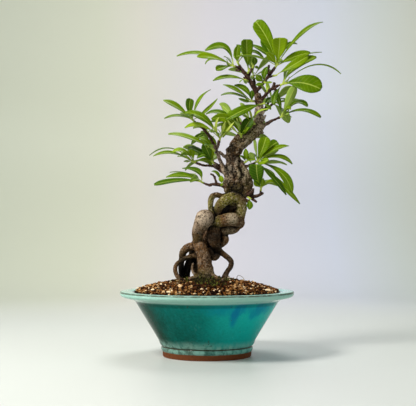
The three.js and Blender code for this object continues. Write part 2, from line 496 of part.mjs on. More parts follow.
function upright(radius, low, high, x, sides) {
  const cylinder = new THREE.CylinderGeometry(radius, radius, high - low, sides).rotateX(Math.PI / 2);
  return solidOf(cylinder.translate(x, 0, (low + high) / 2));
}

// The pot: foot ring, groove, flared wall and flat rim, with two drain holes in the floor.
const POT_INSIDE = [
  [FLOOR_RADIUS, FLOOR_TOP], [42, 11.4], [54, 34], [66.4, 54.4], [RIM_INNER_RADIUS, 63.2],
];
const POT_OUTSIDE = [
  [0, RECESS], [FOOT_INNER_RADIUS - 1, RECESS], [FOOT_INNER_RADIUS, 0], [FOOT_RADIUS, 0], [44.2, 5.2],
  [45.4, 5.8], [45.6, 9.2], [44.9, 10.4], [46.8, 12.4], [48.4, 17], [59.2, 34.4], [70.8, 53.4], [73.4, 56],
  [83.4, 58.4], [RIM_RADIUS, 61.4], [RIM_RADIUS - 0.4, RIM_HEIGHT], [75, RIM_HEIGHT + 0.2],
];

function potSolid() {
  const body = solidOf(turned([...POT_OUTSIDE, ...POT_INSIDE.slice().reverse(), [0, FLOOR_TOP]]));
  const holes = [-DRAIN_OFFSET, DRAIN_OFFSET].map((x) => upright(DRAIN_RADIUS, RECESS - 1, FLOOR_TOP + 1, x, 16));
  return body.subtract(union(holes));
}

// A square of plastic mesh over a drain hole, with nine openings.
function drainMesh(x) {
  const low = FLOOR_TOP + GAP;
  const plate = new THREE.BoxGeometry(MESH_SIDE, MESH_SIDE, MESH_THICKNESS).translate(x, 0, low + MESH_THICKNESS / 2);
  const openings = [];
  for (const across of [-MESH_PITCH, 0, MESH_PITCH]) {
    for (const along of [-MESH_PITCH, 0, MESH_PITCH]) {
      const opening = new THREE.BoxGeometry(MESH_HOLE, MESH_HOLE, 3 * MESH_THICKNESS);
      openings.push(solidOf(opening.translate(x + across, along, low)));
    }
  }
  return solidOf(plate).subtract(union(openings));
}

// The wire that holds a mesh: over two of its openings, down through the hole, and bent out under the floor.
function drainWire(x) {
  const over = FLOOR_TOP + GAP + MESH_THICKNESS + GAP + WIRE_RADIUS;
  const under = RECESS - GAP - WIRE_RADIUS;
  const reach = MESH_PITCH - 0.4;
  const route = [
    [-reach - 4, under], [-reach - 0.6, under], [-reach, under + 0.6], [-reach, over - 0.6], [-reach + 0.6, over],
    [reach - 0.6, over], [reach, over - 0.6], [reach, under + 0.6], [reach + 0.6, under], [reach + 4, under],
  ];
  const path = new THREE.CurvePath();
  const points = route.map(([across, height]) => new THREE.Vector3(x, across, height));
  points.slice(1).forEach((point, i) => path.add(new THREE.LineCurve3(points[i], point)));
  return limb(points.map((p) => [p.x, p.y, p.z, WIRE_RADIUS * 0.92]), 5, 3);
}

// The soil: it fills the pot and rises to a mound whose top is broken up by its granules.
function soilSolid(rootHoles) {
  const wall = POT_INSIDE.map(([radius, height]) => [radius - GAP - 0.1, height]);
  wall[0] = [FLOOR_RADIUS - GAP - 0.1, FLOOR_TOP + GAP];
  const rings = 6;
  const top = [];
  for (let i = 1; i <= rings; i += 1) {
    const share = 1 - i / rings;
    top.push([(RIM_INNER_RADIUS - 0.6) * share, SOIL_EDGE_HEIGHT + SOIL_RISE * (1 - share ** 2.2)]);
  }
  wall[wall.length - 1][1] = SOIL_EDGE_HEIGHT;
  const geometry = turned([[0, FLOOR_TOP + GAP], ...wall, ...top]);
  const position = geometry.attributes.position;
  for (let i = 0; i < position.count; i += 1) {
    const [x, y, z] = [position.getX(i), position.getY(i), position.getZ(i)];
    if (z > SOIL_EDGE_HEIGHT + 0.1) {
      const key = Math.sin(Math.round(x * 10) * 12.9898 + Math.round(y * 10) * 78.233) * 43758.5453;
      position.setZ(i, z + GRANULE_RELIEF * (key - Math.floor(key) - 0.5));
    }
  }
  const pockets = [-DRAIN_OFFSET, DRAIN_OFFSET].map((x) => {
    const side = MESH_SIDE + 2 * GAP + 0.4;
    const depth = MESH_THICKNESS + 2 * WIRE_RADIUS + 3 * GAP + 0.4;
    return solidOf(new THREE.BoxGeometry(side, side, 2 * depth).translate(x, 0, FLOOR_TOP));
  });
  return solidOf(geometry).subtract(union([...pockets, rootHoles]));
}

// All of the wood: roots, trunk, branches, stubs and the spur under each shoot, grown together.
function woodSolid(grow) {
  const thick = [
    FRONT_ROOT, KNOB_LIMB, UPPER_LIMB, RIGHT_ARCH, CENTRE_ROOT, BACKBONE, BACK_LOOP, BACK_ROOT, TRUNK, TRUNK_LEFT,
    TRUNK_RIGHT, TRUNK_BACK,
  ];
  const middling = [THIN_LOOP, RIGHT_LOBE, LOW_LOBE, LEFT_ARCH_ROOT, LEFT_THIN_ROOT, DARK_ROOT];
  const spurs = [...SHOOTS, ...WHORLS].map(({ from, at }) => [[...from, SPUR_RADIUS], [...at, SPUR_RADIUS * 0.85]]);
  return whole(union([
    ...[...thick, ...middling].map((points) => limb(points, 6, LIMB_STEP, grow)),
    ...SURFACE_ROOTS.map((points) => limb(points, 4, LIMB_STEP, grow)),
    ...[...BRANCHES, ...STUBS, ...spurs].map((points) => limb(points, 4, TWIG_STEP, grow)),
  ]));
}

const wood = woodSolid(0);
const woodWithClearance = woodSolid(GAP);

// Shoots whose leaves cross are one node, named after the first of them. Leaves keep clear of the wood.
function foliage() {
  const listed = SHOOTS.map((shoot) => ({ name: shoot.name, solid: shootSolid(shoot, shoot.leaves) }));
  const ruled = WHORLS.map((whorl, i) => ({ name: whorl.name, solid: shootSolid(whorl, whorlLeaves(whorl, 97 + 31 * i)) }));
  const bunches = [];
  for (const { name, solid } of [...listed, ...ruled]) {
    let bunch = { names: [name], solid: whole(solid.subtract(woodWithClearance)) };
    for (const other of bunches.slice()) {
      if (other.solid.intersect(bunch.solid).volume() > 1e-3) {
        bunch = { names: [...other.names, ...bunch.names], solid: union([other.solid, bunch.solid]) };
        bunches.splice(bunches.indexOf(other), 1);
      }
    }
    bunches.push(bunch);
  }
  return bunches;
}

const MATERIALS = {
  glaze: new THREE.MeshStandardMaterial({ color: 0x1c7f78, roughness: 0.2, metalness: 0 }),
  soil: new THREE.MeshStandardMaterial({ color: 0x7a5236, roughness: 0.95, metalness: 0 }),
  bark: new THREE.MeshStandardMaterial({ color: 0x5e4c3a, roughness: 0.85, metalness: 0 }),
  leaf: new THREE.MeshStandardMaterial({ color: 0x5f9a1e, roughness: 0.45, metalness: 0 }),
  mesh: new THREE.MeshStandardMaterial({ color: 0x20241f, roughness: 0.7, metalness: 0 }),
  wire: new THREE.MeshStandardMaterial({ color: 0x9a9894, roughness: 0.4, metalness: 0.9 }),
};

const bonsai = new THREE.Group();

function place(name, solid, material) {
  const mesh = new THREE.Mesh(geometryOf(solid), material);
  mesh.name = name;
  bonsai.add(mesh);
}

place("pot", potSolid(), MATERIALS.glaze);
place("drain_mesh_left", drainMesh(-DRAIN_OFFSET), MATERIALS.mesh);
place("drain_mesh_right", drainMesh(DRAIN_OFFSET), MATERIALS.mesh);
place("drain_wire_left", drainWire(-DRAIN_OFFSET), MATERIALS.wire);
place("drain_wire_right", drainWire(DRAIN_OFFSET), MATERIALS.wire);
place("soil", soilSolid(woodWithClearance), MATERIALS.soil);
place("wood", wood, MATERIALS.bark);
for (const bunch of foliage()) place(`leaves_${bunch.names[0]}`, bunch.solid, MATERIALS.leaf);

export default bonsai;
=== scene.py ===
"""A firethorn bonsai in the exposed-root style, in a round glazed pot.

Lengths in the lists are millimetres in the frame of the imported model: +Z up, origin on the pot's axis at the
surface it stands on, and -Y towards the side that is seen first.
"""
import math
import random

import bmesh
import bpy
import numpy as np
from bpy.props import FloatProperty, FloatVectorProperty, IntProperty, PointerProperty
from mathutils import Matrix, Vector, kdtree, noise


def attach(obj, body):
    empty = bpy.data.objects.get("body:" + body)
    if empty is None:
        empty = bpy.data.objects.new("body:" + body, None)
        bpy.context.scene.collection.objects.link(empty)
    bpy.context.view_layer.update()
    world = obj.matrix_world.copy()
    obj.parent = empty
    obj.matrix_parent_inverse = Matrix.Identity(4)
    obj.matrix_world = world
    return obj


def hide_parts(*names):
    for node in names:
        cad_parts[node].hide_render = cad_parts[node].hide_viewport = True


bl_info = {
    "name": "Potted Firethorn Bonsai",
    "version": (1, 0, 0),
    "blender": (4, 5, 0),
    "location": "3D View > Sidebar > Bonsai",
    "description": "Builds a small broad-leaved tree with braided roots in a glazed pot",
    "category": "Add Mesh",
}

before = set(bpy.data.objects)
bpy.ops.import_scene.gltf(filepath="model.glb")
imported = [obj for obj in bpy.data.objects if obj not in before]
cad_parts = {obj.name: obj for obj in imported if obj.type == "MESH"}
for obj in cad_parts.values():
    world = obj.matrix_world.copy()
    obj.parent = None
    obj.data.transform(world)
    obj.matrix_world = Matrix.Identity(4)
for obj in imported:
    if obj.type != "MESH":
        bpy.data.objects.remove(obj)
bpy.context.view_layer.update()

MM = 0.001
BODY = "root"

# Pot
GROOVE_HEIGHT = 10.4
POT_INSIDE = [
    (38, 7.5), (42, 11.4), (48, 22), (54, 34), (60.4, 44), (66.4, 54.4), (69.6, 59), (71.8, 61.8), (73, 63.4),
]
POT_OUTSIDE = [
    (0, 1.8), (37.5, 1.8), (38.6, 0.2), (39.4, 0), (43.2, 0), (43.9, 0.7), (44.3, 5.2), (45.1, 5.9),
    (45.6, 7.4), (45.7, 9), (45.3, 9.9), (44.9, 10.4), (45.5, 11), (46.6, 12), (47.5, 14), (48.6, 17),
    (53.6, 25.4), (59.2, 34.4), (65.2, 44.2), (69.6, 51.4), (71.2, 54), (73.4, 55.9), (78, 57.4),
    (83.4, 58.7), (85.6, 59.8), (86.5, 61.4), (86.6, 63.2), (86.1, 64.3), (84.6, 64.6), (80, 64.4),
    (76, 64.1), (74, 63.9),
]
DRAIN_RADIUS = 6.5
DRAIN_OFFSET = 19.0

# Soil
SOIL_RADIUS = 72.4
SOIL_EDGE_HEIGHT = 64.2
SOIL_RISE = 11.5
SOIL_FLOOR = [(0, 7.9), (37.6, 7.9), (41.6, 11.8), (53.6, 34.4), (66, 54.8), (72.4, 63.6)]

# Bark
RING_START = Vector((0.31, -0.93, 0.2))  # a direction that no limb starts in
PATCH_CORE = 1.6  # lets a patch reach its full strength before its centre
HOLLOW_SMOOTHINGS = 2
FOLD_GAIN = 9  # a crease is as strong as the hollow times this, less the next
FOLD_START = 0.6
FOLD_STEPS = 6  # how many edges a crease spreads over, and how much is left after each
FOLD_FADE = 0.79
CREASE_DEPTH = 0.5
FISSURE_STRETCH = 0.8  # how far fissures are drawn out along the limb, up to 1
WRINKLE_SIZE = 1.7
GNARL_SIZE = 6.0
TRUNK_FOOT = 158  # height at which smooth roots turn into gnarled trunk, over the next rise
GNARL_RISE = 12
SPECKLED_HEIGHTS = (152, 164)  # heights between which the flecks set in

# Leaves and shoots
SHOOT_LENGTH = 4.0
SPUR_RADIUS = 1.5
LEAF_FOLD = 0.22  # how far the edges stand up, as a share of the half width there
LEAF_RIPPLE = 0.06  # how far the edges wave, as a share of the greatest half width
MIDRIB_SINK = 0.03  # the same share for the groove along the middle
LEAF_TWIST = 0.35  # greatest twist from base to tip, in radians
STALK_SHARE = 0.1
STALK_WIDTH = 0.11  # as a share of the leaf's greatest width
TIP_FLOOR = 0.08  # keeps the tip from closing to nothing
YOUNG_TONE = 0.6  # how light young leaves and stems are
LEAF_WIDTH_MAX = 0.56  # greatest width of a leaf, as a share of its length

# Chance and spread
TURN = 6.3  # about a full turn, in radians
GOLDEN_ANGLE = 2.399963
WHORL_ANGLE = 2.4  # the golden angle, rounded
WHORL_SEED = 97
WHORL_SEED_STEP = 31
CHANCE_FACTOR = 16807
CHANCE_PRIME = 2147483647

# Directions that a leaf's upper face can look in
UP = [0, 0, 1]
FRONT = [0, -1, 0]
UP_FRONT = [0, -0.7, 0.7]
UP_BACK = [0, 0.6, 0.8]
LEAN_FRONT = [0, -0.9, 0.42]
STEEP_LEFT = [-0.6, -0.6, 0.5]
BACK = [0, 1, 0.1]

# Roots and trunk: each limb is a list of x, y, z, radius, from the ground up or from the trunk outwards.
FRONT_ROOT = [
    [3, -4, 58, 6], [1.5, -7, 68, 8.6], [0, -9, 76, 8.8], [-1.2, -10, 84, 7.8], [-2.4, -10.4, 93, 7],
    [-4, -10.8, 101, 6.4], [-5.8, -10.8, 107, 5.8], [-6.6, -9.8, 110.6, 4.6], [-6.8, -8.4, 112.6, 2.6],
]
KNOB_LIMB = [
    [-2, -1, 94, 3.6], [-6, -4, 102, 5], [-8.6, -6.4, 110, 5.2], [-9.2, -8, 117, 4.9], [-9, -9, 123.4, 5.8],
    [-5.5, -12, 130.5, 7.8], [-2.6, -12, 136, 9], [-0.5, -6, 137, 8],
]
UPPER_LIMB = [
    [-1, -7, 134, 7], [6, -6, 132.5, 5.6], [13, -8, 133.5, 5.8], [20, -9.5, 134.8, 6.4],
    [26.5, -8.5, 135.4, 6.8], [31.5, -3, 133.4, 5.8], [31, 5, 131, 5.2], [24, 11, 132, 5], [17, 12, 140, 5],
]
RIGHT_ARCH = [
    [14, 7, 133, 4], [9.5, 1, 139.5, 4], [11, -5, 146.5, 4.4], [14.5, -10, 151.6, 4.9],
    [20, -12, 155.4, 5.2], [26.8, -11.5, 157.4, 5.2], [32.2, -10, 154.6, 4.9], [34.6, -8, 147.6, 4.8],
    [33.4, -6, 140, 4.8], [31.4, -2, 133, 4.6], [28.4, 1, 127.4, 4.6], [23, -2, 124.8, 4.7],
    [16.6, -3, 124.8, 4.5], [10, 1, 124, 4.6],
]
THIN_LOOP = [
    [22, 3, 160, 3.4], [15.5, 0, 158.6, 2.7], [10, -2, 160, 2.8], [5.6, -3, 158.8, 2.9],
    [3.8, -3.4, 154, 2.8], [3.6, -4, 147.5, 2.7], [4.6, -5, 141.5, 2.9], [6.5, -5, 134, 3],
]
CENTRE_ROOT = [
    [10, 2, 133, 5], [7.5, -3, 127.5, 6.4], [6.6, -6, 120.5, 7.2], [7.4, -5, 113.6, 6.2],
    [9.4, -3, 108.4, 4.4], [14, -1, 102.8, 2.9], [19.8, 0, 98.2, 2.7], [24.2, 0, 93.4, 2.6],
    [23.4, -1, 88.2, 2.5], [20, -1, 83.2, 2.5], [17.4, -1, 78, 2.7], [14, 0, 70, 2.6], [11, 1, 60, 2],
]
RIGHT_LOBE = [
    [8, 5, 124, 4], [14.6, 1, 121, 4.1], [18, -1, 115.6, 4], [14.8, -1, 111.2, 3.6], [9, 3, 109, 3.8],
]
LOW_LOBE = [
    [6, 2, 108, 4.4], [3, -2, 103, 3.7], [6.6, -3.4, 97.4, 3.3], [10.4, -1, 99.6, 3], [9, 3, 106, 3.2],
]
LEFT_ARCH_ROOT = [
    [-6, 1, 110, 5], [-12, -1, 109, 4.4], [-18.6, 0, 107.6, 4.1], [-23.4, 1, 103.6, 3.8], [-25, 2, 97, 3.2],
    [-26, 3, 90, 2.8], [-26, 4, 83, 2.6], [-24, 5, 75, 2.6], [-20, 6, 62, 2],
]
LEFT_THIN_ROOT = [
    [-6, -4, 98, 3], [-12.6, -5, 99.4, 2.4], [-19, -6, 97.8, 2.2], [-25.4, -6, 94.4, 2.2],
    [-30.6, -5, 90.4, 2.1], [-31.6, -5, 85.2, 2.1], [-29.6, -6, 79.4, 2.1], [-25.4, -8, 73.6, 2.2],
    [-20, -8, 62, 1.8],
]
DARK_ROOT = [
    [-6, 4, 106, 4.4], [-12.5, 6, 101.6, 4.4], [-17, 8, 94, 4], [-20, 8, 86, 3.8], [-21, 7, 77, 4],
    [-17, 7, 62, 2.6],
]
BACKBONE = [
    [29, 5, 164, 9], [25, 8, 152, 7], [19, 9, 142, 6.6], [12, 8, 131, 7], [6, 6, 121, 7], [0, 4, 111, 6.6],
    [-4, 5, 99, 6], [-5, 6, 86, 6.2], [-4, 6, 74, 6.8], [-1, 4, 58, 4],
]
BACK_LOOP = [
    [31, 9, 154, 6], [26, 17, 143, 5.4], [13, 19, 133, 5.2], [-2, 17, 125, 5], [-10, 12, 114, 4.8],
    [-14, 13, 101, 4.4], [-12, 17, 88, 4], [-9, 19, 76, 4], [-6, 17, 62, 2.6],
]
BACK_ROOT = [
    [32, 6, 145, 5], [24, 13, 132, 4.8], [14, 15, 119, 4.6], [4, 12, 108, 4.6], [1, 13, 96, 4],
    [1.6, 15, 85, 3.6], [3, 17, 75, 3.8], [4, 15, 62, 2.4],
]
SURFACE_ROOTS = [
    [[-3, -13, 81, 3.4], [-8.6, -15, 79.2, 2], [-15.4, -16, 77.6, 1.7], [-21, -17, 75.2, 1.5],
     [-25, -18, 69, 1.2]],
    [[-2, -15, 79, 3.2], [-5.2, -18.6, 77.6, 2], [-7.6, -22, 75, 1.6], [-8.6, -25, 70, 1.4]],
    [[3, -13, 81, 3.4], [8.4, -16, 78.6, 2.2], [15, -17.6, 76.2, 1.8], [20.4, -18, 73.6, 1.5],
     [24, -18, 69, 1.2]],
    [[1, -15, 78, 3], [4.4, -20, 76.4, 2], [6.4, -25, 74, 1.6], [7, -28, 69, 1.3]],
    [[-13.6, -7, 92, 1.3], [-14.6, -9.6, 87, 1.2], [-13.4, -12, 82.6, 1.2], [-9, -13.6, 79.6, 1.3]],
    [[2.4, 16, 80, 3.4], [4, 22, 77, 2.4], [8, 29, 74, 1.8], [12, 33, 69, 1.3]],
    [[-9, 17, 80, 3.4], [-12, 24, 76.4, 2.2], [-14, 31, 73.4, 1.6], [-15, 35, 68, 1.3]],
]
TRUNK = [
    [27, 3, 150, 7.6], [28, 2, 158, 10], [29, 1, 166, 11.4], [29.4, 0, 176, 10.8], [27.8, 0, 187, 8.8],
    [26.2, -1, 197, 6.9], [27.6, -1, 205, 7.2], [33.4, -1, 212.8, 7.4], [41, 0, 219.6, 7],
    [48.4, 0, 225.4, 6.4], [51.8, 0, 232, 5.2], [52.4, 0, 240, 4.2], [52.4, 0, 249, 3.6],
    [51.6, 0, 257, 3.4], [50.4, 0, 262, 3.2],
]
TRUNK_LEFT = [
    [25, -2, 158, 4.6], [21.8, -5, 166, 4.8], [21.4, -6, 174, 4.8], [21.2, -5, 183, 4.4],
    [23.2, -3, 193, 3.8],
]
TRUNK_RIGHT = [
    [34, -2, 158, 5], [38.2, -4, 165, 5.1], [40.4, -4, 173, 5], [37.6, -4, 182, 4.8], [31.6, -3, 192, 4],
]
TRUNK_BACK = [
    [28, 8, 156, 6], [30, 12, 168, 6.4], [32, 10, 180, 5.8], [31, 5, 194, 5],
]
RIBS = [
    # up the front of the trunk, from left to right
    [[14.4, -7.1, 191, 1.5], [17.4, -8.3, 184, 2.5], [19.4, -9.1, 177, 1.9], [18.6, -8.9, 171, 2.8],
     [21, -7.3, 163, 2.2]],
    [[24.6, -6.1, 190, 1.7], [22.8, -8, 182, 2.4], [25.6, -8.7, 175.6, 2.6], [24.2, -8.8, 168, 2.2]],
    [[30.6, -6.1, 197, 1.6], [29.2, -8.3, 188, 2.6], [31.4, -9.5, 181, 1.8], [29.6, -10.1, 173, 2.6],
     [32.6, -9.5, 166, 2]],
    [[36, -5.4, 188, 2.4], [38.2, -7.2, 181, 1.8], [36.8, -7.8, 173, 2.7], [38.8, -7.7, 167, 2]],
    # along the leaning part
    [[28.6, -6.9, 203, 1.6], [34.2, -7.5, 209.4, 2.3], [40, -6.5, 214.4, 1.5]],
    [[40.4, -6.1, 218.6, 1.6], [46.8, -5.9, 222.6, 2.3], [51.6, -4.7, 229.6, 1.4]],
    [[31.6, -4.1, 211, 1.7], [37.4, -5.1, 217.6, 2.3], [42.4, -4.3, 223.4, 1.4]],
    # up the back
    [[27, 5.6, 197, 1.5], [25, 8.6, 187, 2.2], [23.4, 10.4, 176, 2.4], [23, 10, 164, 2.2]],
    [[31, 5, 199, 1.5], [33, 10, 190, 2.1], [35.6, 13, 179, 2.3], [34, 14, 167, 2.2]],
    [[33, 5.6, 209, 1.6], [40, 6.4, 216, 1.9], [47, 5.6, 222.6, 1.6]],
]
KNOBS = [
    [[38, -5, 166, 2.4], [42, -6.4, 168, 1.9], [43.6, -7.2, 170.8, 1.4]],
    [[39, -6, 160, 2.8], [43, -7.8, 161, 2.3], [45.4, -8, 163.8, 1.5]],
    [[37, -6, 155, 2.6], [41.4, -7.4, 153.2, 2.1], [44.4, -7.4, 151.4, 1.4]],
    [[51.4, -2, 240, 2.2], [55, -3.4, 241, 1.6], [56.6, -4, 243.4, 1.1]],
    [[33, -5, 284, 1.5], [30.6, -6, 285, 2], [28.4, -6.6, 284.2, 1.3]],
    [[41, -3, 276, 1.4], [38.6, -4, 276.4, 1.7], [37, -4.4, 278, 1.1]],
    [[63, -3, 281, 1.4], [60.2, -3.6, 282.4, 1.7], [58.4, -4, 281.6, 1.1]],
    [[66, -4, 268, 1.4], [67.4, -5, 266, 1.7], [69.4, -5.2, 264.6, 1.1]],
]
BRANCHES = [
    # the long branch to the left pad
    [[22, -5, 178, 2.8], [13.3, -7, 193.5, 2.2], [9.6, -8, 204, 2], [3.6, -9, 215.6, 1.8],
     [-3, -10, 225, 1.6]],
    # its link from the middle of the trunk
    [[26, -3, 194, 2.6], [19.4, -4, 197.4, 2], [12, -7, 203, 1.7]],
    # the two lower branches on the left
    [[22, -3, 180, 2.4], [12.4, 0, 185.6, 1.9], [5.6, 2, 189.4, 1.7], [-2, 3, 189.6, 1.5]],
    [[22, -4, 166, 2.8], [13, -5, 170, 2.2], [8.4, -6, 170.6, 1.9], [2, -7, 169.4, 1.6]],
    # the bare, knobbly twig over the lowest one
    [[10, -6, 170, 1.6], [8, -7, 176, 1.3], [6, -8.4, 179.6, 1.1], [3.4, -9, 180.4, 1]],
    # right-hand twigs, from the top down
    [[52, -1, 226, 2.8], [58.4, -2, 230.6, 2.1], [65, -3, 234.2, 1.7]],
    [[35, -3, 187, 2.8], [40, -6, 188.6, 2], [44, -9, 189.8, 1.7]],
    [[38, -4, 162, 3.6], [44, -5, 158.6, 2.8], [50, -6, 158.8, 2], [56, -6.6, 162, 1.4]],
    [[42, -5, 158, 2.4], [45.4, -6, 162.4, 1.9], [46, -7, 166.4, 1.5]],
    [[43, -5, 158, 2.4], [47, -6, 154.4, 1.7], [49.6, -6.6, 152.6, 1.2]],
    # the crown's fork
    [[50.4, 0, 261, 3.2], [47.6, 0, 267, 2.8], [43, -2, 274.6, 2.3], [38, -4, 281.6, 2.2],
     [34, -5, 286.6, 2]],
    [[48.6, 0, 264.4, 2.9], [55, -1, 270.8, 2.1], [60.4, -2, 277.6, 1.9], [65, -3, 283.6, 1.7]],
    [[52, 0, 254, 2.8], [57, -1, 258.4, 2.3], [62.6, -3, 264.6, 2.1], [68.4, -4, 268.2, 1.8]],
    [[65, -3, 265.6, 1.7], [66.8, -4.4, 269.6, 1.3], [67.4, -5, 272, 1.1]],
    [[62, -2, 279.4, 1.6], [61.6, -3, 284, 1.3], [62, -3.6, 290, 1]],
    # branches to the back of the tree
    [[30, 2, 200, 3.2], [32, 12, 207, 2.3], [35, 21, 213, 1.9]],
    [[46, 1, 223, 3], [40, 11, 230, 2.2], [33, 19, 235, 1.8]],
    [[52, 1, 243, 2.6], [58, 10, 247, 2], [63, 17, 251, 1.7]],
    [[48, 1, 264, 2.4], [48.6, 9, 270, 1.9], [48, 15, 276, 1.6]],
    [[33, 4, 180, 3.2], [40, 13, 183, 2.3], [47, 20, 187, 1.9]],
    [[24, 3, 184, 2.8], [14, 11, 189, 2.1], [6, 17, 194, 1.7]],
]
STUBS = [
    [[54, -1, 234, 1.8], [57, -2.4, 236.6, 1.5], [58.4, -3, 239.6, 1.1]],
    [[52, -1, 224, 2.4], [56.6, -1.4, 222, 1.3]],
    [[10, -7, 203, 1.5], [6.6, -8, 203.6, 1]],
    [[40, -1, 217, 2.4], [37, -5, 222, 1.5], [36.6, -6, 224.4, 1.1]],
]

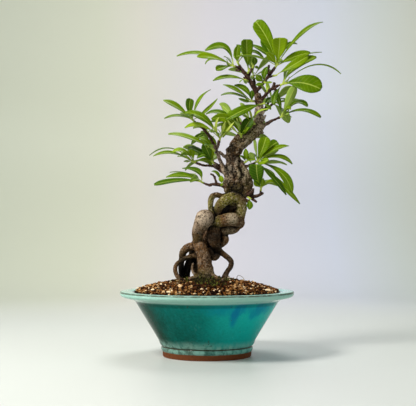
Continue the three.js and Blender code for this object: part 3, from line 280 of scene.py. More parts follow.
# A leafy shoot grows on a spur that runs from a branch to the point "at".
# Each of its leaves is listed as tip, a point half way along the midrib, width, where the upper face looks,
# how light its green is, and how blunt its tip is: 0 is pointed, 1 is round and 2 is cut off. The last two
# can be left out.
SHOOTS = [
    ("crown_left_outer", [34, -5, 286.6], [28, -5.6, 288.4], [
        [[-30, -14, 297.4], [-3, -12, 300.2], 6.5, UP_FRONT, 0.45],
        [[-9.8, -18, 296], [7.4, -13, 296.2], 8.5, UP_FRONT, 0.6],
        [[-2, -4, 304.8], [18, -5, 308], 9, UP_FRONT, 0.3],
        [[-2, 4, 292.6], [8, 0, 297.4], 5, UP_FRONT, 0.35],
        [[9.4, -14, 283], [15.4, -10, 286.8], 8, UP_FRONT, 0.35],
        [[17, 9, 301], [21.6, 4, 298], 4.5, UP, 0.0],
    ]),
    ("crown_left_inner", [34.4, -5, 286.4], [32, -6, 290], [
        [[31.7, -9, 309.6], [29.8, -9, 300.2], 7, FRONT, 0.4],
        [[57, 3, 299], [43.6, 0, 304.6], 6, UP_FRONT, 0.15],
        [[38, 20, 306], [34, 8, 304], 8, UP_BACK],
    ]),
    ("crown_left_stalk", [39.6, -3, 279], [41, -6, 282], [
        [[39.3, -18, 313.2], [39.8, -13.4, 297.6], 12.5, FRONT, 0.35, 2.0],
    ]),
    ("crown_left_twig", [41, -3, 277.6], [45.2, -4.6, 286.4], [
        [[46, -9, 297], [47.8, -8, 292.6], 5.5, FRONT, 0.25],
        [[51, -7, 286], [49, -6.4, 287.8], 4, UP_FRONT, 0.3],
        [[29.8, 8, 313], [39, 3, 304], 6, FRONT, 0.0],
    ]),
    ("crown_top", [65, -3, 283.6], [68.4, -3.6, 288], [
        [[48.8, -3, 334.6], [61.8, -4, 313.6], 14, FRONT, 0.4, 1.4],
        [[72.2, -15, 315.4], [71.6, -9, 303.2], 16.5, FRONT, 0.7, 2.0],
        [[117, 0, 334.6], [93.6, -1, 321.4], 6, UP_FRONT, 0.4],
        [[91.8, 9, 314], [80.4, 5, 311], 4.5, UP_FRONT, 0.2],
        [[56, 10, 321], [62, 5, 307], 9, FRONT, 0.1],
        [[41, 3, 312.6], [57.6, 1, 304.8], 7, UP_FRONT, 0.2],
        [[29, -20, 296], [50.4, -14, 296.2], 6, UP, 1.0],
        [[103.4, -5, 302.6], [85.4, -6, 297.4], 9.5, LEAN_FRONT, 0.45],
        [[117, 12, 306.4], [94, 8, 301.6], 6, UP, 0.3],
        [[59, -13, 301], [64.4, -9, 296.2], 7, FRONT, 0.7],
    ]),
    ("crown_right_knob", [61.4, -2.4, 278.6], [66.2, -5.6, 279], [
        [[100.4, -14, 297.2], [84.8, -13, 288.2], 9.5, LEAN_FRONT, 0.55],
    ]),
    ("crown_centre_front", [56, -1.4, 272.4], [57.2, -6, 272], [
        [[48.8, -12, 278.4], [52.4, -11, 275.2], 6.5, FRONT, 0.35],
        [[60.2, -12, 287.2], [56.8, -11, 279.6], 6, FRONT, 0.2],
        [[59.2, -13, 261.4], [59.6, -12, 267.6], 2.6, FRONT, 1.3],
        [[48.4, -15, 268.2], [53, -12.6, 269.6], 4.5, UP_FRONT, 0.4],
    ]),
    ("crown_right", [68.4, -4, 268.2], [73.6, -5, 270], [
        [[109.6, -4, 298.2], [89.4, -6, 289.4], 10, LEAN_FRONT, 0.4],
        [[135, 2, 282.4], [107.4, -2, 290.4], 6, UP, 0.2],
        [[112.6, -18, 263.6], [93.6, -14, 270.8], 19, FRONT, 0.3, 0.8],
        [[66.4, -14, 248.6], [67.6, -12, 258.4], 6, FRONT, 0.2],
        [[90, 22, 296], [82, 10, 287], 9, UP_FRONT],
    ]),
    ("right_twig", [65, -3, 234.2], [72.6, -4.4, 237.4], [
        [[88.6, -8, 269.4], [81.6, -9, 254.4], 9.5, BACK, 1.6],
        [[67, -2, 264.2], [72.4, -3, 253.6], 4.5, FRONT, 0.1],
        [[113.4, -8, 237], [94.2, -7, 244.6], 6.5, UP_FRONT, 0.3, 1.0],
        [[100.6, -3, 248.6], [88.8, -2, 252.8], 8, UP_FRONT, 0.2, 0.8],
        [[82.8, -14, 244.2], [79.2, -9.4, 246], 5.5, UP_FRONT, 0.4],
        [[84, 30, 250], [79, 14, 248], 8, UP],
    ]),
    ("left_fork_spur", [44, -1.4, 273], [40.6, -5, 274], [
        [[5.8, -10, 273.6], [22.6, -9, 277.6], 7, UP_FRONT, 0.35],
        [[52, 20, 281], [47, 9, 278.6], 7, UP],
    ]),
    ("trunk_top_spur", [51.8, 0, 254.6], [46.6, -4.4, 253.6], [
        [[15.8, -12, 269.4], [30.6, -10, 263.4], 7, UP_FRONT, 0.4],
        [[27.4, -3, 270], [38.8, -4, 265.4], 6.5, UP_FRONT, 0.3],
        [[13.8, -14, 258.4], [28.6, -11, 259.8], 6, UP_FRONT, 0.25],
        [[31.4, -17, 254.6], [38, -12.6, 252.8], 5.5, UP_FRONT, 0.2],
        [[44.8, -12, 263.6], [44.4, -10, 258.4], 5.5, FRONT, 0.1],
    ]),
    ("trunk_high_spur", [53, -1, 250.4], [55.4, -5.4, 250.8], [
        [[18.6, -20, 233.6], [38.4, -15, 244.4], 12, LEAN_FRONT, 0.3],
        [[65.4, 5, 259], [61.6, -1, 255], 6.5, FRONT, 0.0],
        [[63.2, -12, 244.4], [60.4, -10, 248], 4.5, UP_FRONT, 0.3],
    ]),
    ("trunk_bend_spur", [50, -1, 231], [47.6, -6.4, 230.6], [
        [[35.2, -19, 237.6], [41.4, -13.6, 234.8], 4.5, UP_FRONT, 0.6],
        [[41.8, -13, 245], [44, -11.6, 237.6], 2.2, FRONT, 1.4],
        [[62, -16, 244.4], [49.8, -13.4, 241.2], 2.4, UP_FRONT, 1.15],
    ]),
    ("left_pad_outer", [-3, -10, 225], [-13, -11, 233], [
        [[-43.2, -16, 253.2], [-27.6, -14, 245.6], 9, UP_FRONT, 0.5],
        [[-16.2, -18, 254.4], [-17.2, -15, 245], 8, FRONT, 0.2, 1.5],
        [[3.6, -2, 266], [-8.4, -6, 253.6], 7, STEEP_LEFT, 0.35],
        [[10.4, 2, 257.4], [-1.4, -4, 243.6], 6.5, STEEP_LEFT, 0.45],
        [[-42.4, -13, 235.4], [-27.6, -12, 238.4], 5.5, UP_FRONT, 0.35],
        [[-18, -35, 234.6], [-16, -23, 238], 7, UP, 0.1],
        [[-26, 24, 243], [-20, 8, 242], 9, UP],
    ]),
    ("left_pad_inner", [3.6, -9, 215.6], [1.4, -4, 221.4], [
        [[-14, 26, 230], [-6, 12, 229], 8, UP],
        [[-15.6, -2, 210.6], [-8.4, -2, 218.8], 5.5, FRONT, 0.2],
        [[24, 24, 234], [13, 10, 231], 9, UP],
        [[9, 6, 205.6], [5.2, 6, 216], 6, FRONT, 0.8],
    ]),
    ("centre_pad_left", [9.6, -8, 204], [12.4, -12, 213.6], [
        [[-21.6, -16, 240.8], [-2.4, -19, 234.2], 10, UP_FRONT, 0.35],
        [[-21.8, -27, 224.4], [-5.4, -22, 227.4], 6, UP_FRONT, 1.05],
        [[11.6, -22, 235.2], [8.8, -18, 226], 2.4, FRONT, 1.5],
        [[18, -25, 231], [15.6, -19.6, 223.4], 2.4, FRONT, 1.5],
        [[25.4, -20, 224.2], [19.6, -17, 221.2], 2.6, UP_FRONT, 1.3],
        [[5.9, -22, 227.4], [9.3, -18, 220.6], 2.2, FRONT, 1.5],
        [[26.4, -24, 230.4], [19.5, -19, 222.6], 2.4, UP_FRONT, 1.4],
        [[20.4, -17, 234], [17.6, -15, 225.4], 9, FRONT, 0.6],
        [[4, -38, 219], [9, -26, 220], 8, UP_FRONT, 0.4],
    ]),
    ("centre_pad_right", [34, -3, 214], [34, -9, 217.4], [
        [[4.4, -21, 233.8], [21.8, -18, 233.6], 8.5, FRONT, 0.55],
        [[-1, -12, 239.8], [16.8, -13, 239.4], 8, UP_FRONT, 0.2],
        [[22.8, -10, 243.6], [28.6, -12.6, 231.6], 10, FRONT, 0.45],
        [[44.2, -14, 235.6], [37.4, -13.4, 225.6], 11, FRONT, -0.1],
        [[41.4, -19, 226], [37.4, -14.6, 221.8], 6.5, UP_FRONT, 0.5],
        [[20.5, -22, 232.3], [26.4, -17, 224.5], 2.2, FRONT, 1.5],
        [[29.3, -23, 234.3], [31.7, -17, 225.5], 2.2, FRONT, 1.4],
        [[25, -40, 231], [29.6, -26, 228], 8, UP_FRONT, 0.4],
    ]),
    ("long_left_leaf_spur", [11, -7.4, 200], [7.4, -11.6, 203.4], [
        [[-38.2, -17, 219.4], [-15.8, -17, 215.6], 9.5, UP_FRONT, 0.55],
        [[-8.4, -9, 216.6], [0, -9.6, 213.6], 6, UP_FRONT, 0.4],
        [[-2, -38, 206], [3, -25, 207.6], 8, UP_FRONT, 0.2],
    ]),
    ("left_mid_spur", [12.4, 0, 185.6], [7.4, -3.6, 190.6], [
        [[-18.8, -10, 206.4], [-5.8, -9, 201.8], 11, UP_FRONT, 0.0],
        [[-9.8, -14, 195.8], [-1.6, -11, 199.4], 7, UP_FRONT, 0.1],
        [[-2.4, -14, 210.6], [0.6, -11, 203], 9.5, FRONT, 0.1],
        [[5.6, -3, 207.2], [5.2, -4, 200.6], 4.5, FRONT, 0.9],
        [[8, 22, 204], [7, 9, 200], 8, UP],
    ]),
    ("left_mid_tip", [-2, 3, 189.6], [-11.6, 4, 192.8], [
        [[-58.4, 6, 200.4], [-36.2, 6, 207.4], 5, UP, 0.2],
        [[-54, -6, 198.4], [-34.8, -4, 202.2], 5, UP_FRONT, 0.45],
        [[-34.6, -7, 202.8], [-22.4, -3, 203.8], 8, UP_FRONT, 0.9],
        [[-15.6, -2, 205.8], [-14.4, 1, 200.6], 6, FRONT, 0.9, 1.5],
        [[5, -3, 189.8], [-3, -1, 195.2], 6, UP_FRONT, 0.6],
        [[-30, 26, 201], [-22, 14, 199], 8, UP],
    ]),
    ("left_low_tip", [2, -7, 169.4], [-3.6, -7.6, 171.8], [
        [[-52.2, -15, 169.6], [-26.6, -14, 174.2], 6.5, UP_FRONT, 0.15, 1.0],
        [[-40.8, -6, 177.6], [-22.8, -7, 179.4], 6, UP_FRONT, 0.4],
        [[-37.6, 5, 183.2], [-20.4, 2, 182], 5, UP, 0.3],
        [[-24.8, -2, 186.6], [-9, -3, 183.6], 8, UP_FRONT, 0.2],
        [[-16, -36, 171], [-10, -22, 175], 7, UP_FRONT, 0.4],
        [[-22, 24, 182], [-14, 9, 180], 8, UP],
    ]),
    ("left_low_bud", [16, -5, 169], [15.4, -9.4, 170], [
        [[13.8, -15, 178.6], [14.2, -14, 174.2], 5, FRONT, 1.0],
        [[4.4, -16, 182.8], [10.8, -14, 180], 5, UP_FRONT, 0.3],
    ]),
    ("right_mid_tip", [44, -9, 189.8], [47.6, -11.6, 191.6], [
        [[58.6, -13, 217], [54.6, -13, 204.8], 12, FRONT, 0.45, 1.0],
        [[70.6, -4, 213], [61.4, -7, 206], 10, LEAN_FRONT, 0.2, 1.0],
        [[81.4, -11, 208.4], [65.6, -12, 204.4], 7, UP_FRONT, 0.5],
        [[84.8, -8, 190.4], [70.2, -10, 198.2], 5.5, UP_FRONT, 0.5],
        [[83.4, -18, 161.2], [72.4, -19, 181.4], 9, UP_FRONT, 0.4],
        [[92, -10, 150.8], [72.4, -14, 171.2], 6, UP_FRONT, 0.5],
        [[78.2, -15, 159.4], [65.8, -17, 175.6], 7, UP_FRONT, 0.05],
        [[41.8, -17, 201], [44.8, -15, 197.2], 6, BACK, 0.3],
        [[60.4, -24, 193.6], [54.4, -18.6, 191.8], 8, UP_FRONT, 0.6],
    ]),
    ("right_mid_back", [34, -4, 190], [37.6, -9, 192], [
        [[38.4, -12, 205.4], [38.6, -11.6, 199], 5.5, FRONT, 0.4],
        [[32.4, -16, 197.8], [36, -13.4, 196], 6, UP_FRONT, 0.3],
        [[42.2, -15, 199.8], [41.4, -12.6, 195.6], 5, FRONT, 0.5],
        [[48, 18, 202], [44, 5, 198], 8, UP],
    ]),
    ("right_low_tip", [53, -6.4, 160.4], [53.4, -8, 164.6], [
        [[48.4, -22, 189.2], [49.8, -16, 176.4], 16, FRONT, 0.1, 2.0],
        [[72.2, -9, 168], [62.4, -9, 172.4], 8.5, UP_FRONT, 0.7],
        [[54.6, -13, 175.8], [54.8, -12, 171.4], 5.5, FRONT, 0.6],
        [[46.4, -15, 174], [50, -12, 170.2], 6, FRONT, 0.5],
        [[64, 16, 176], [59, 5, 172], 8, UP],
    ]),
    ("right_low_drop", [39, -4.6, 158.6], [41, -7.2, 157.4], [
        [[42, -10, 145.2], [42.4, -9.4, 150.6], 7, FRONT, 0.3],
    ]),
]

# Whorls on the far side of the tree, where a rule spreads the leaves round the spur: its start and end, the
# number of leaves and their length.
WHORLS = [
    ("back_low", [35, 21, 213], [37, 26, 217], 5, 30),
    ("back_left", [33, 19, 235], [30, 24, 235], 5, 25),
    ("back_right", [63, 17, 251], [67, 21, 254], 5, 30),
    ("back_top", [48, 15, 276], [47.6, 18.6, 281], 5, 27),
    ("back_right_low", [47, 20, 187], [52, 24, 190.6], 5, 29),
    ("back_left_low", [6, 17, 194], [1.4, 21, 198], 6, 30),
    ("back_middle", [40, 11, 230], [44, 17.6, 236], 4, 25),
    ("crown_right_back", [58, 10, 247], [62.6, 8, 254.6], 3, 22),
]

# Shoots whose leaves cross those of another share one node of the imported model, named after that other one.
NODE_OF = {
    "crown_top": "crown_left_stalk",
    "centre_pad_left": "left_pad_outer",
    "trunk_high_spur": "trunk_bend_spur",
    "centre_pad_right": "trunk_bend_spur",
    "left_mid_spur": "long_left_leaf_spur",
    "back_left": "back_low",
}

# Bark colours by place: centre, reach, and how pale, mossy and dark it is there; the dark share is painted
# shade, under the arch, among the roots and on the trunk's shaded edges.
BARK_PATCHES = [
    ((-4, -14, 136), 14, 1.0, 0.0, 0.0),
    ((-9, -12, 128), 9, 0.7, 0.0, 0.0),
    ((-9, -9, 118), 9, 0.0, 0.2, 0.55),
    ((22, -12, 153), 17, 0.0, 1.0, 0.0),
    ((34, -10, 146), 12, 0.1, 0.9, 0.0),
    ((5, -4, 150), 13, 0.1, 1.0, 0.0),
    ((10, -9, 133), 9, 0.0, 0.75, 0.2),
    ((25, -13, 136), 9, 0.6, 0.3, 0.0),
    ((22, -4, 125), 10, 0.3, 0.2, 0.2),
    ((7, -8, 119), 13, 0.0, 0.0, 0.8),
    ((8, -4, 104), 12, 0.0, 0.0, 0.85),
    ((0, -18, 98), 8, 0.15, 0.0, 0.0),
    ((3, -17, 82), 9, 0.2, 0.2, 0.0),
    ((-4, -14, 76), 14, 0.0, 0.6, 0.6),
    ((-19, 5, 92), 21, 0.0, 0.2, 0.95),
    ((-22, -6, 92), 12, 0.0, 0.2, 0.9),
    ((-24, 3, 84), 15, 0.0, 0.1, 1.0),
    ((22, -1, 88), 18, 0.0, 0.0, 0.65),
    ((18, -9, 178), 11, 0.35, 0.1, 0.0),
    ((22, -9, 185), 8, 0.9, 0.0, 0.0),
    ((31, -9, 193), 6, 0.8, 0.1, 0.0),
    # a painted highlight on the bend of the trunk
    ((40, -8, 213), 5, 0.7, 0.0, 0.0),
    ((24, -9, 166), 9, 0.0, 0.3, 0.4),
    ((36, -9, 181), 10, 0.5, 0.6, 0.0),
    ((40, -8, 171), 9, 0.1, 0.4, 0.3),
    ((30, -10, 163), 12, 0.0, 0.5, 0.75),
    ((25, -8, 197), 9, 0.0, 0.0, 0.7),
    ((24, -7, 206), 9, 0.0, 0.1, 0.8),
    ((36, -4, 223), 9, 0.0, 0.1, 0.85),
    ((17, 3, 147), 13, 0.0, 0.0, 1.0),
    ((36, -8, 212), 10, 0.25, 0.3, 0.0),
    ((43, -7, 219), 11, 0.3, 0.7, 0.0),
    ((54, -6, 226), 10, 0.5, 0.4, 0.0),
    # pale bark at the crown's base, with a painted highlight on it
    ((55, -4, 242), 14, 0.8, 0.0, 0.0),
    ((48, -4, 262), 12, 0.0, 0.0, 0.3),
    ((12, -6, 198), 15, 0.4, 0.0, 0.0),
]


def paint(red, green, blue):
    """A linear colour from display values of 0 to 255."""
    linear = [((v / 255 + 0.055) / 1.055) ** 2.4 for v in (red, green, blue)]
    return (*linear, 1.0)


class BonsaiPotSettings(bpy.types.PropertyGroup):
    """Sizes and glaze colours of the pot"""

    facets: IntProperty(name="Facets", description="Facets round the pot", default=160, min=24)
    glaze_deep: FloatVectorProperty(
        name="Deep glaze", description="Where the glaze lies thin on the wall", default=paint(0, 44, 28),
        subtype="COLOR", size=4, min=0, max=1,
    )
    glaze_bright: FloatVectorProperty(
        name="Bright glaze", description="Where the glaze has pooled", default=paint(22, 178, 170),
        subtype="COLOR", size=4, min=0, max=1,
    )
    glaze_pale: FloatVectorProperty(
        name="Pale glaze", description="On the rim and round the foot", default=paint(152, 192, 178),
        subtype="COLOR", size=4, min=0, max=1,
    )
    streak: FloatVectorProperty(
        name="Streaks", description="Blue runs under the rim", default=paint(0, 116, 156),
        subtype="COLOR", size=4, min=0, max=1,
    )
    bare: FloatVectorProperty(
        name="Thin glaze", description="Brown edges and groove, where the glaze has run off",
        default=paint(50, 40, 22), subtype="COLOR", size=4, min=0, max=1,
    )
    clay: FloatVectorProperty(
        name="Clay", description="The bare foot", default=paint(130, 72, 44),
        subtype="COLOR", size=4, min=0, max=1,
    )


class BonsaiSoilSettings(bpy.types.PropertyGroup):
    """Amount and size of what covers the soil"""

    granules: IntProperty(name="Granules", description="Number of granules", default=4400, min=10)
    granule_size: FloatProperty(
        name="Granule size", description="Mean radius of a granule", default=1.35 * MM,
        subtype="DISTANCE", unit="LENGTH",
    )
    sprigs: IntProperty(name="Moss sprigs", description="Number of moss sprigs", default=2600, min=10)


class BonsaiTreeSettings(bpy.types.PropertyGroup):
    """Fineness and colours of the wood"""

    skin: FloatProperty(
        name="Skin", description="Mesh size on roots and trunk", default=0.68 * MM,
        subtype="DISTANCE", unit="LENGTH",
    )
    twig_skin: FloatProperty(
        name="Twig skin", description="Mesh size on twigs", default=0.42 * MM,
        subtype="DISTANCE", unit="LENGTH",
    )
    bark: FloatVectorProperty(
        name="Bark", description="Main bark colour", default=paint(94, 65, 36),
        subtype="COLOR", size=4, min=0, max=1,
    )
    twig: FloatVectorProperty(
        name="Twigs", description="Young bark of the twigs", default=paint(72, 47, 38),
        subtype="COLOR", size=4, min=0, max=1,
    )
    bark_dark: FloatVectorProperty(
        name="Dark bark", description="Shaded and creased bark", default=paint(11, 7, 4),
        subtype="COLOR", size=4, min=0, max=1,
    )
    # painted shade: the near-black colour laid into the creases where limbs press together
    shaded_crease: FloatVectorProperty(
        name="Creases", description="Where limbs press against each other", default=paint(5, 3, 2),
        subtype="COLOR", size=4, min=0, max=1,
    )
    bark_pale: FloatVectorProperty(
        name="Pale bark", description="Weathered bark", default=paint(194, 176, 154),
        subtype="COLOR", size=4, min=0, max=1,
    )
    moss: FloatVectorProperty(
        name="Algae", description="Green film on the bark", default=paint(112, 106, 40),
        subtype="COLOR", size=4, min=0, max=1,
    )


class BonsaiLeafSettings(bpy.types.PropertyGroup):
    """Thickness and colours of the leaves"""

    thickness: FloatProperty(
        name="Thickness", description="Thickness of a leaf", default=0.4 * MM,
        subtype="DISTANCE", unit="LENGTH",
    )
    leaf_dark: FloatVectorProperty(
        name="Dark leaf", description="Older leaves", default=paint(50, 82, 0),
        subtype="COLOR", size=4, min=0, max=1,
    )
    leaf_light: FloatVectorProperty(
        name="Light leaf", description="Young leaves", default=paint(120, 146, 2),
        subtype="COLOR", size=4, min=0, max=1,
    )
    midrib: FloatVectorProperty(
        name="Midrib", description="Midrib, stalk and green shoots", default=paint(176, 190, 84),
        subtype="COLOR", size=4, min=0, max=1,
    )
    underside: FloatVectorProperty(
        name="Underside", description="Back of a leaf", default=paint(140, 164, 72),
        subtype="COLOR", size=4, min=0, max=1,
    )


class Finish:
    """A procedural material: its nodes are added one by one and end in one shader."""

    def __init__(self, name, roughness, **sockets):
        self.material = bpy.data.materials.new(name)
        self.material.use_nodes = True
        self.nodes = self.material.node_tree.nodes
        self.links = self.material.node_tree.links
        self.shader = self.nodes["Principled BSDF"]
        self.shader.inputs["Roughness"].default_value = roughness
        for socket, value in sockets.items():
            self.shader.inputs[socket.replace("_", " ")].default_value = value

    def wire(self, value, socket):
        if isinstance(value, bpy.types.NodeSocket):
            self.links.new(value, socket)
        else:
            socket.default_value = value

    def add(self, kind, settings=None, **sockets):
        node = self.nodes.new(kind)
        for key, value in (settings or {}).items():
            setattr(node, key, value)
        for name, value in sockets.items():
            self.wire(value, node.inputs[name.replace("_", " ")])
        return node

    def place(self):
        return self.add("ShaderNodeTexCoord").outputs["Object"]

    def split(self, vector):
        return self.add("ShaderNodeSeparateXYZ", Vector=vector).outputs

    def attribute(self, name):
        return self.add("ShaderNodeAttribute", {"attribute_name": name}).outputs["Fac"]

    def stretched(self, vector, scale):
        return self.add("ShaderNodeMapping", Vector=vector, Scale=scale).outputs[0]

    def noise(self, vector, scale, detail=3.0, roughness=0.55):
        return self.add(
            "ShaderNodeTexNoise", Vector=vector, Scale=scale, Detail=detail, Roughness=roughness
        ).outputs[0]

    def pair(self, kind, operation, a, b):
        node = self.add(kind, {"operation": operation})
        self.wire(a, node.inputs[0])
        self.wire(b, node.inputs[1])
        return node.outputs

    def calc(self, operation, a, b=0.0):
        return self.pair("ShaderNodeMath", operation, a, b)[0]

    def times(self, product, *factors):
        for factor in factors:
            product = self.calc("MULTIPLY", product, factor)
        return product

    def plus(self, total, *terms):
        for term in terms:
            total = self.calc("ADD", total, term)
        return total

    def swing(self, texture, reach):
        """A texture of 0 to 1, made to swing round 0."""
        return self.times(self.calc("SUBTRACT", texture, 0.5), reach)

    def ease(self, value, low, high):
        """0 below low, 1 above high, smooth between; the other way round where low is the greater."""
        if low > high:
            return self.calc("SUBTRACT", 1.0, self.ease(value, high, low))
        node = self.add("ShaderNodeMapRange", {"interpolation_type": "SMOOTHSTEP"}, Value=value)
        node.inputs["From Min"].default_value = low
        node.inputs["From Max"].default_value = high
        return node.outputs[0]

    def band(self, value, none, full, ebbing, gone):
        """1 from full to ebbing, 0 below none and above gone."""
        return self.times(self.ease(value, none, full), self.ease(value, gone, ebbing))

    def coat(self, under, over, *shares):
        """One colour over another, as strongly as all its shares multiply to."""
        node = self.add("ShaderNodeMix", {"data_type": "RGBA"})
        self.wire(self.times(*shares), node.inputs[0])
        self.wire(under, node.inputs[6])
        self.wire(over, node.inputs[7])
        return node.outputs[2]

    def ramp(self, share, stops):
        node = self.add("ShaderNodeValToRGB", Fac=share)
        elements = node.color_ramp.elements
        while len(elements) < len(stops):
            elements.new(0.5)
        for element, (position, colour) in zip(elements, stops):
            element.position = position
            element.color = colour
        return node.outputs[0]

    def colour(self, socket):
        self.wire(socket, self.shader.inputs["Base Color"])

    def rough(self, socket):
        self.wire(socket, self.shader.inputs["Roughness"])

    def relief(self, height, distance, strength=1.0):
        bump = self.add("ShaderNodeBump", Height=height, Distance=distance, Strength=strength)
        self.wire(bump.outputs[0], self.shader.inputs["Normal"])


def grained_finish(name, roughness, fineness, dark, light, relief=None, **sockets):
    """A plain finish that goes from dark to light with its grain."""
    finish = Finish(name, roughness, **sockets)
    grain_and_hollows = finish.noise(finish.place(), fineness)
    finish.colour(finish.ramp(grain_and_hollows, [(0.3, dark), (0.8, light)]))
    if relief:
        finish.relief(grain_and_hollows, 0.1 * MM, relief)
    return finish


def shape_of(name, mesh, finishes=(), smooth=True):
    """Makes a finished bmesh into an object of the scene."""
    bmesh.ops.recalc_face_normals(mesh, faces=mesh.faces)
    for face in mesh.faces:
        face.smooth = smooth
    data = bpy.data.meshes.new(name)
    mesh.to_mesh(data)
    mesh.free()
    for finish in finishes:
        data.materials.append(finish.material)
    shape = bpy.data.objects.new(name, data)
    bpy.context.scene.collection.objects.link(shape)
    return shape


def put(name, mesh, finishes, nodes=(), smooth=True):
    """Makes a finished bmesh into a piece that rides with the model and stands for CAD nodes."""
    piece = shape_of(name, mesh, finishes, smooth)
    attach(piece, BODY)
    if nodes:
        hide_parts(*nodes)
    return piece


def apply_modifiers(piece):
    graph = bpy.context.evaluated_depsgraph_get()
    changed = bpy.data.meshes.new_from_object(piece.evaluated_get(graph))
    piece.modifiers.clear()
    old = piece.data
    piece.data = changed
    bpy.data.meshes.remove(old)
    changed.name = piece.name


def turned(mesh, profile, steps):
    """Spins a profile of radius and height, which starts and ends on the axis or closes on itself."""
    corners = [mesh.verts.new((radius * MM, 0, height * MM)) for radius, height in profile]
    edges = [mesh.edges.new(pair) for pair in zip(corners, corners[1:])]
    bmesh.ops.spin(
        mesh, geom=corners + edges, cent=(0, 0, 0), axis=(0, 0, 1), angle=2 * math.pi, steps=steps,
        use_merge=True,
    )
    bmesh.ops.remove_doubles(mesh, verts=mesh.verts, dist=0.01 * MM)
    bmesh.ops.dissolve_degenerate(mesh, edges=mesh.edges, dist=0.001 * MM)


def standing(place, direction):
    """The matrix that stands a shape at a place, with its Z axis in a direction."""
    return Matrix.Translation(place * MM) @ direction.to_track_quat("Z", "Y").to_matrix().to_4x4()


def smooth_path(stations, step):
    """Points and radii, step apart, on a curve that runs smoothly through the stations."""
    points = [Vector(station[:3]) for station in stations]
    points = [2 * points[0] - points[1], *points, 2 * points[-1] - points[-2]]
    path = []
    for i in range(1, len(points) - 2):
        p0, p1, p2, p3 = points[i - 1:i + 3]
        t1 = math.sqrt((p1 - p0).length)
        t2 = t1 + math.sqrt((p2 - p1).length)
        t3 = t2 + math.sqrt((p3 - p2).length)
        count = max(1, round((p2 - p1).length / step))
        last = i == len(points) - 3
        for k in range(count + last):
            t = t1 + (t2 - t1) * k / count
            a1 = p0.lerp(p1, t / t1)
            a2 = p1.lerp(p2, (t - t1) / (t2 - t1))
            a3 = p2.lerp(p3, (t - t2) / (t3 - t2))
            b1 = a1.lerp(a2, t / t2)
            b2 = a2.lerp(a3, (t - t1) / (t3 - t1))
            radius = stations[i - 1][3] * (1 - k / count) + stations[i][3] * k / count
            path.append((b1.lerp(b2, (t - t1) / (t2 - t1)), radius))
    return path


def tangent_at(path, i):
    """The way a path runs at one of its points."""
    return (path[min(i + 1, len(path) - 1)][0] - path[max(i - 1, 0)][0]).normalized()


def grow_limb(mesh, path, sides):
    """A closed tube of changing thickness along a path, extruded ring by ring."""
    side = RING_START
    last = None
    cap = None
    for i, (centre, radius) in enumerate(path):
        tangent = tangent_at(path, i)
        side = (side - tangent * side.dot(tangent)).normalized()
        turn = Matrix((side, tangent.cross(side), tangent)).transposed().to_4x4()
        ring = Matrix.Translation(centre * MM) @ turn @ Matrix.Scale(radius * MM, 4)
        if last is None:
            made = bmesh.ops.create_circle(mesh, cap_ends=True, segments=sides, radius=1, matrix=ring)
            cap = made["verts"][0].link_faces[0]
        else:
            made = bmesh.ops.extrude_face_region(mesh, geom=[cap])["geom"]
            cap = next(part for part in made if isinstance(part, bmesh.types.BMFace))
            bmesh.ops.transform(mesh, matrix=ring @ last.inverted(), verts=cap.verts)
        last = ring


def skin_over(piece, size):
    """Melts overlapping limbs into one closed surface."""
    modifier = piece.modifiers.new("Skin", "REMESH")
    modifier.mode = "VOXEL"
    modifier.voxel_size = size
    modifier.use_smooth_shade = True
    apply_modifiers(piece)


def bark_marks(place):
    """How pale and mossy the bark is at a place, and how dark with painted shade."""
    marks = [0.0, 0.0, 0.0]
    for centre, reach, *amounts in BARK_PATCHES:
        share = 1 - (place - Vector(centre)).length / reach
        if share > 0:
            share = share * share * (3 - 2 * share)
            marks = [max(mark, amount * min(1, PATCH_CORE * share)) for mark, amount in zip(marks, amounts)]
    return marks


def surface_of(mesh):
    """The places and normals of a mesh's vertices, as arrays."""
    places = np.empty(len(mesh.vertices) * 3, dtype=np.float32)
    normals = np.empty(len(mesh.vertices) * 3, dtype=np.float32)
    mesh.vertices.foreach_get("co", places)
    mesh.vertex_normals.foreach_get("vector", normals)
    return places.reshape(-1, 3), normals.reshape(-1, 3)


def hollows(mesh, places, normals):
    """How hollow the surface is at each vertex, and how near it lies to a sharp fold."""
    pairs = np.empty(len(mesh.edges) * 2, dtype=np.int32)
    mesh.edges.foreach_get("vertices", pairs)
    a, b = pairs.reshape(-1, 2).T
    span = places[b] - places[a]
    span /= np.linalg.norm(span, axis=1)[:, None] + 1e-9
    count = len(places)
    degree = np.bincount(a, minlength=count) + np.bincount(b, minlength=count) + 1e-9
    hollow = np.bincount(a, (normals[a] * span).sum(axis=1), count)
    hollow = (hollow - np.bincount(b, (normals[b] * span).sum(axis=1), count)) / degree
    for _ in range(HOLLOW_SMOOTHINGS):
        around = np.bincount(a, hollow[b], count) + np.bincount(b, hollow[a], count)
        hollow = 0.5 * hollow + 0.5 * around / degree
    fold = np.clip(hollow * FOLD_GAIN - FOLD_START, 0, 1)
    for _ in range(FOLD_STEPS):
        spread = fold.copy()
        np.maximum.at(spread, a, fold[b] * FOLD_FADE)
        np.maximum.at(spread, b, fold[a] * FOLD_FADE)
        fold = spread
    return hollow.astype(np.float32), fold.astype(np.float32)


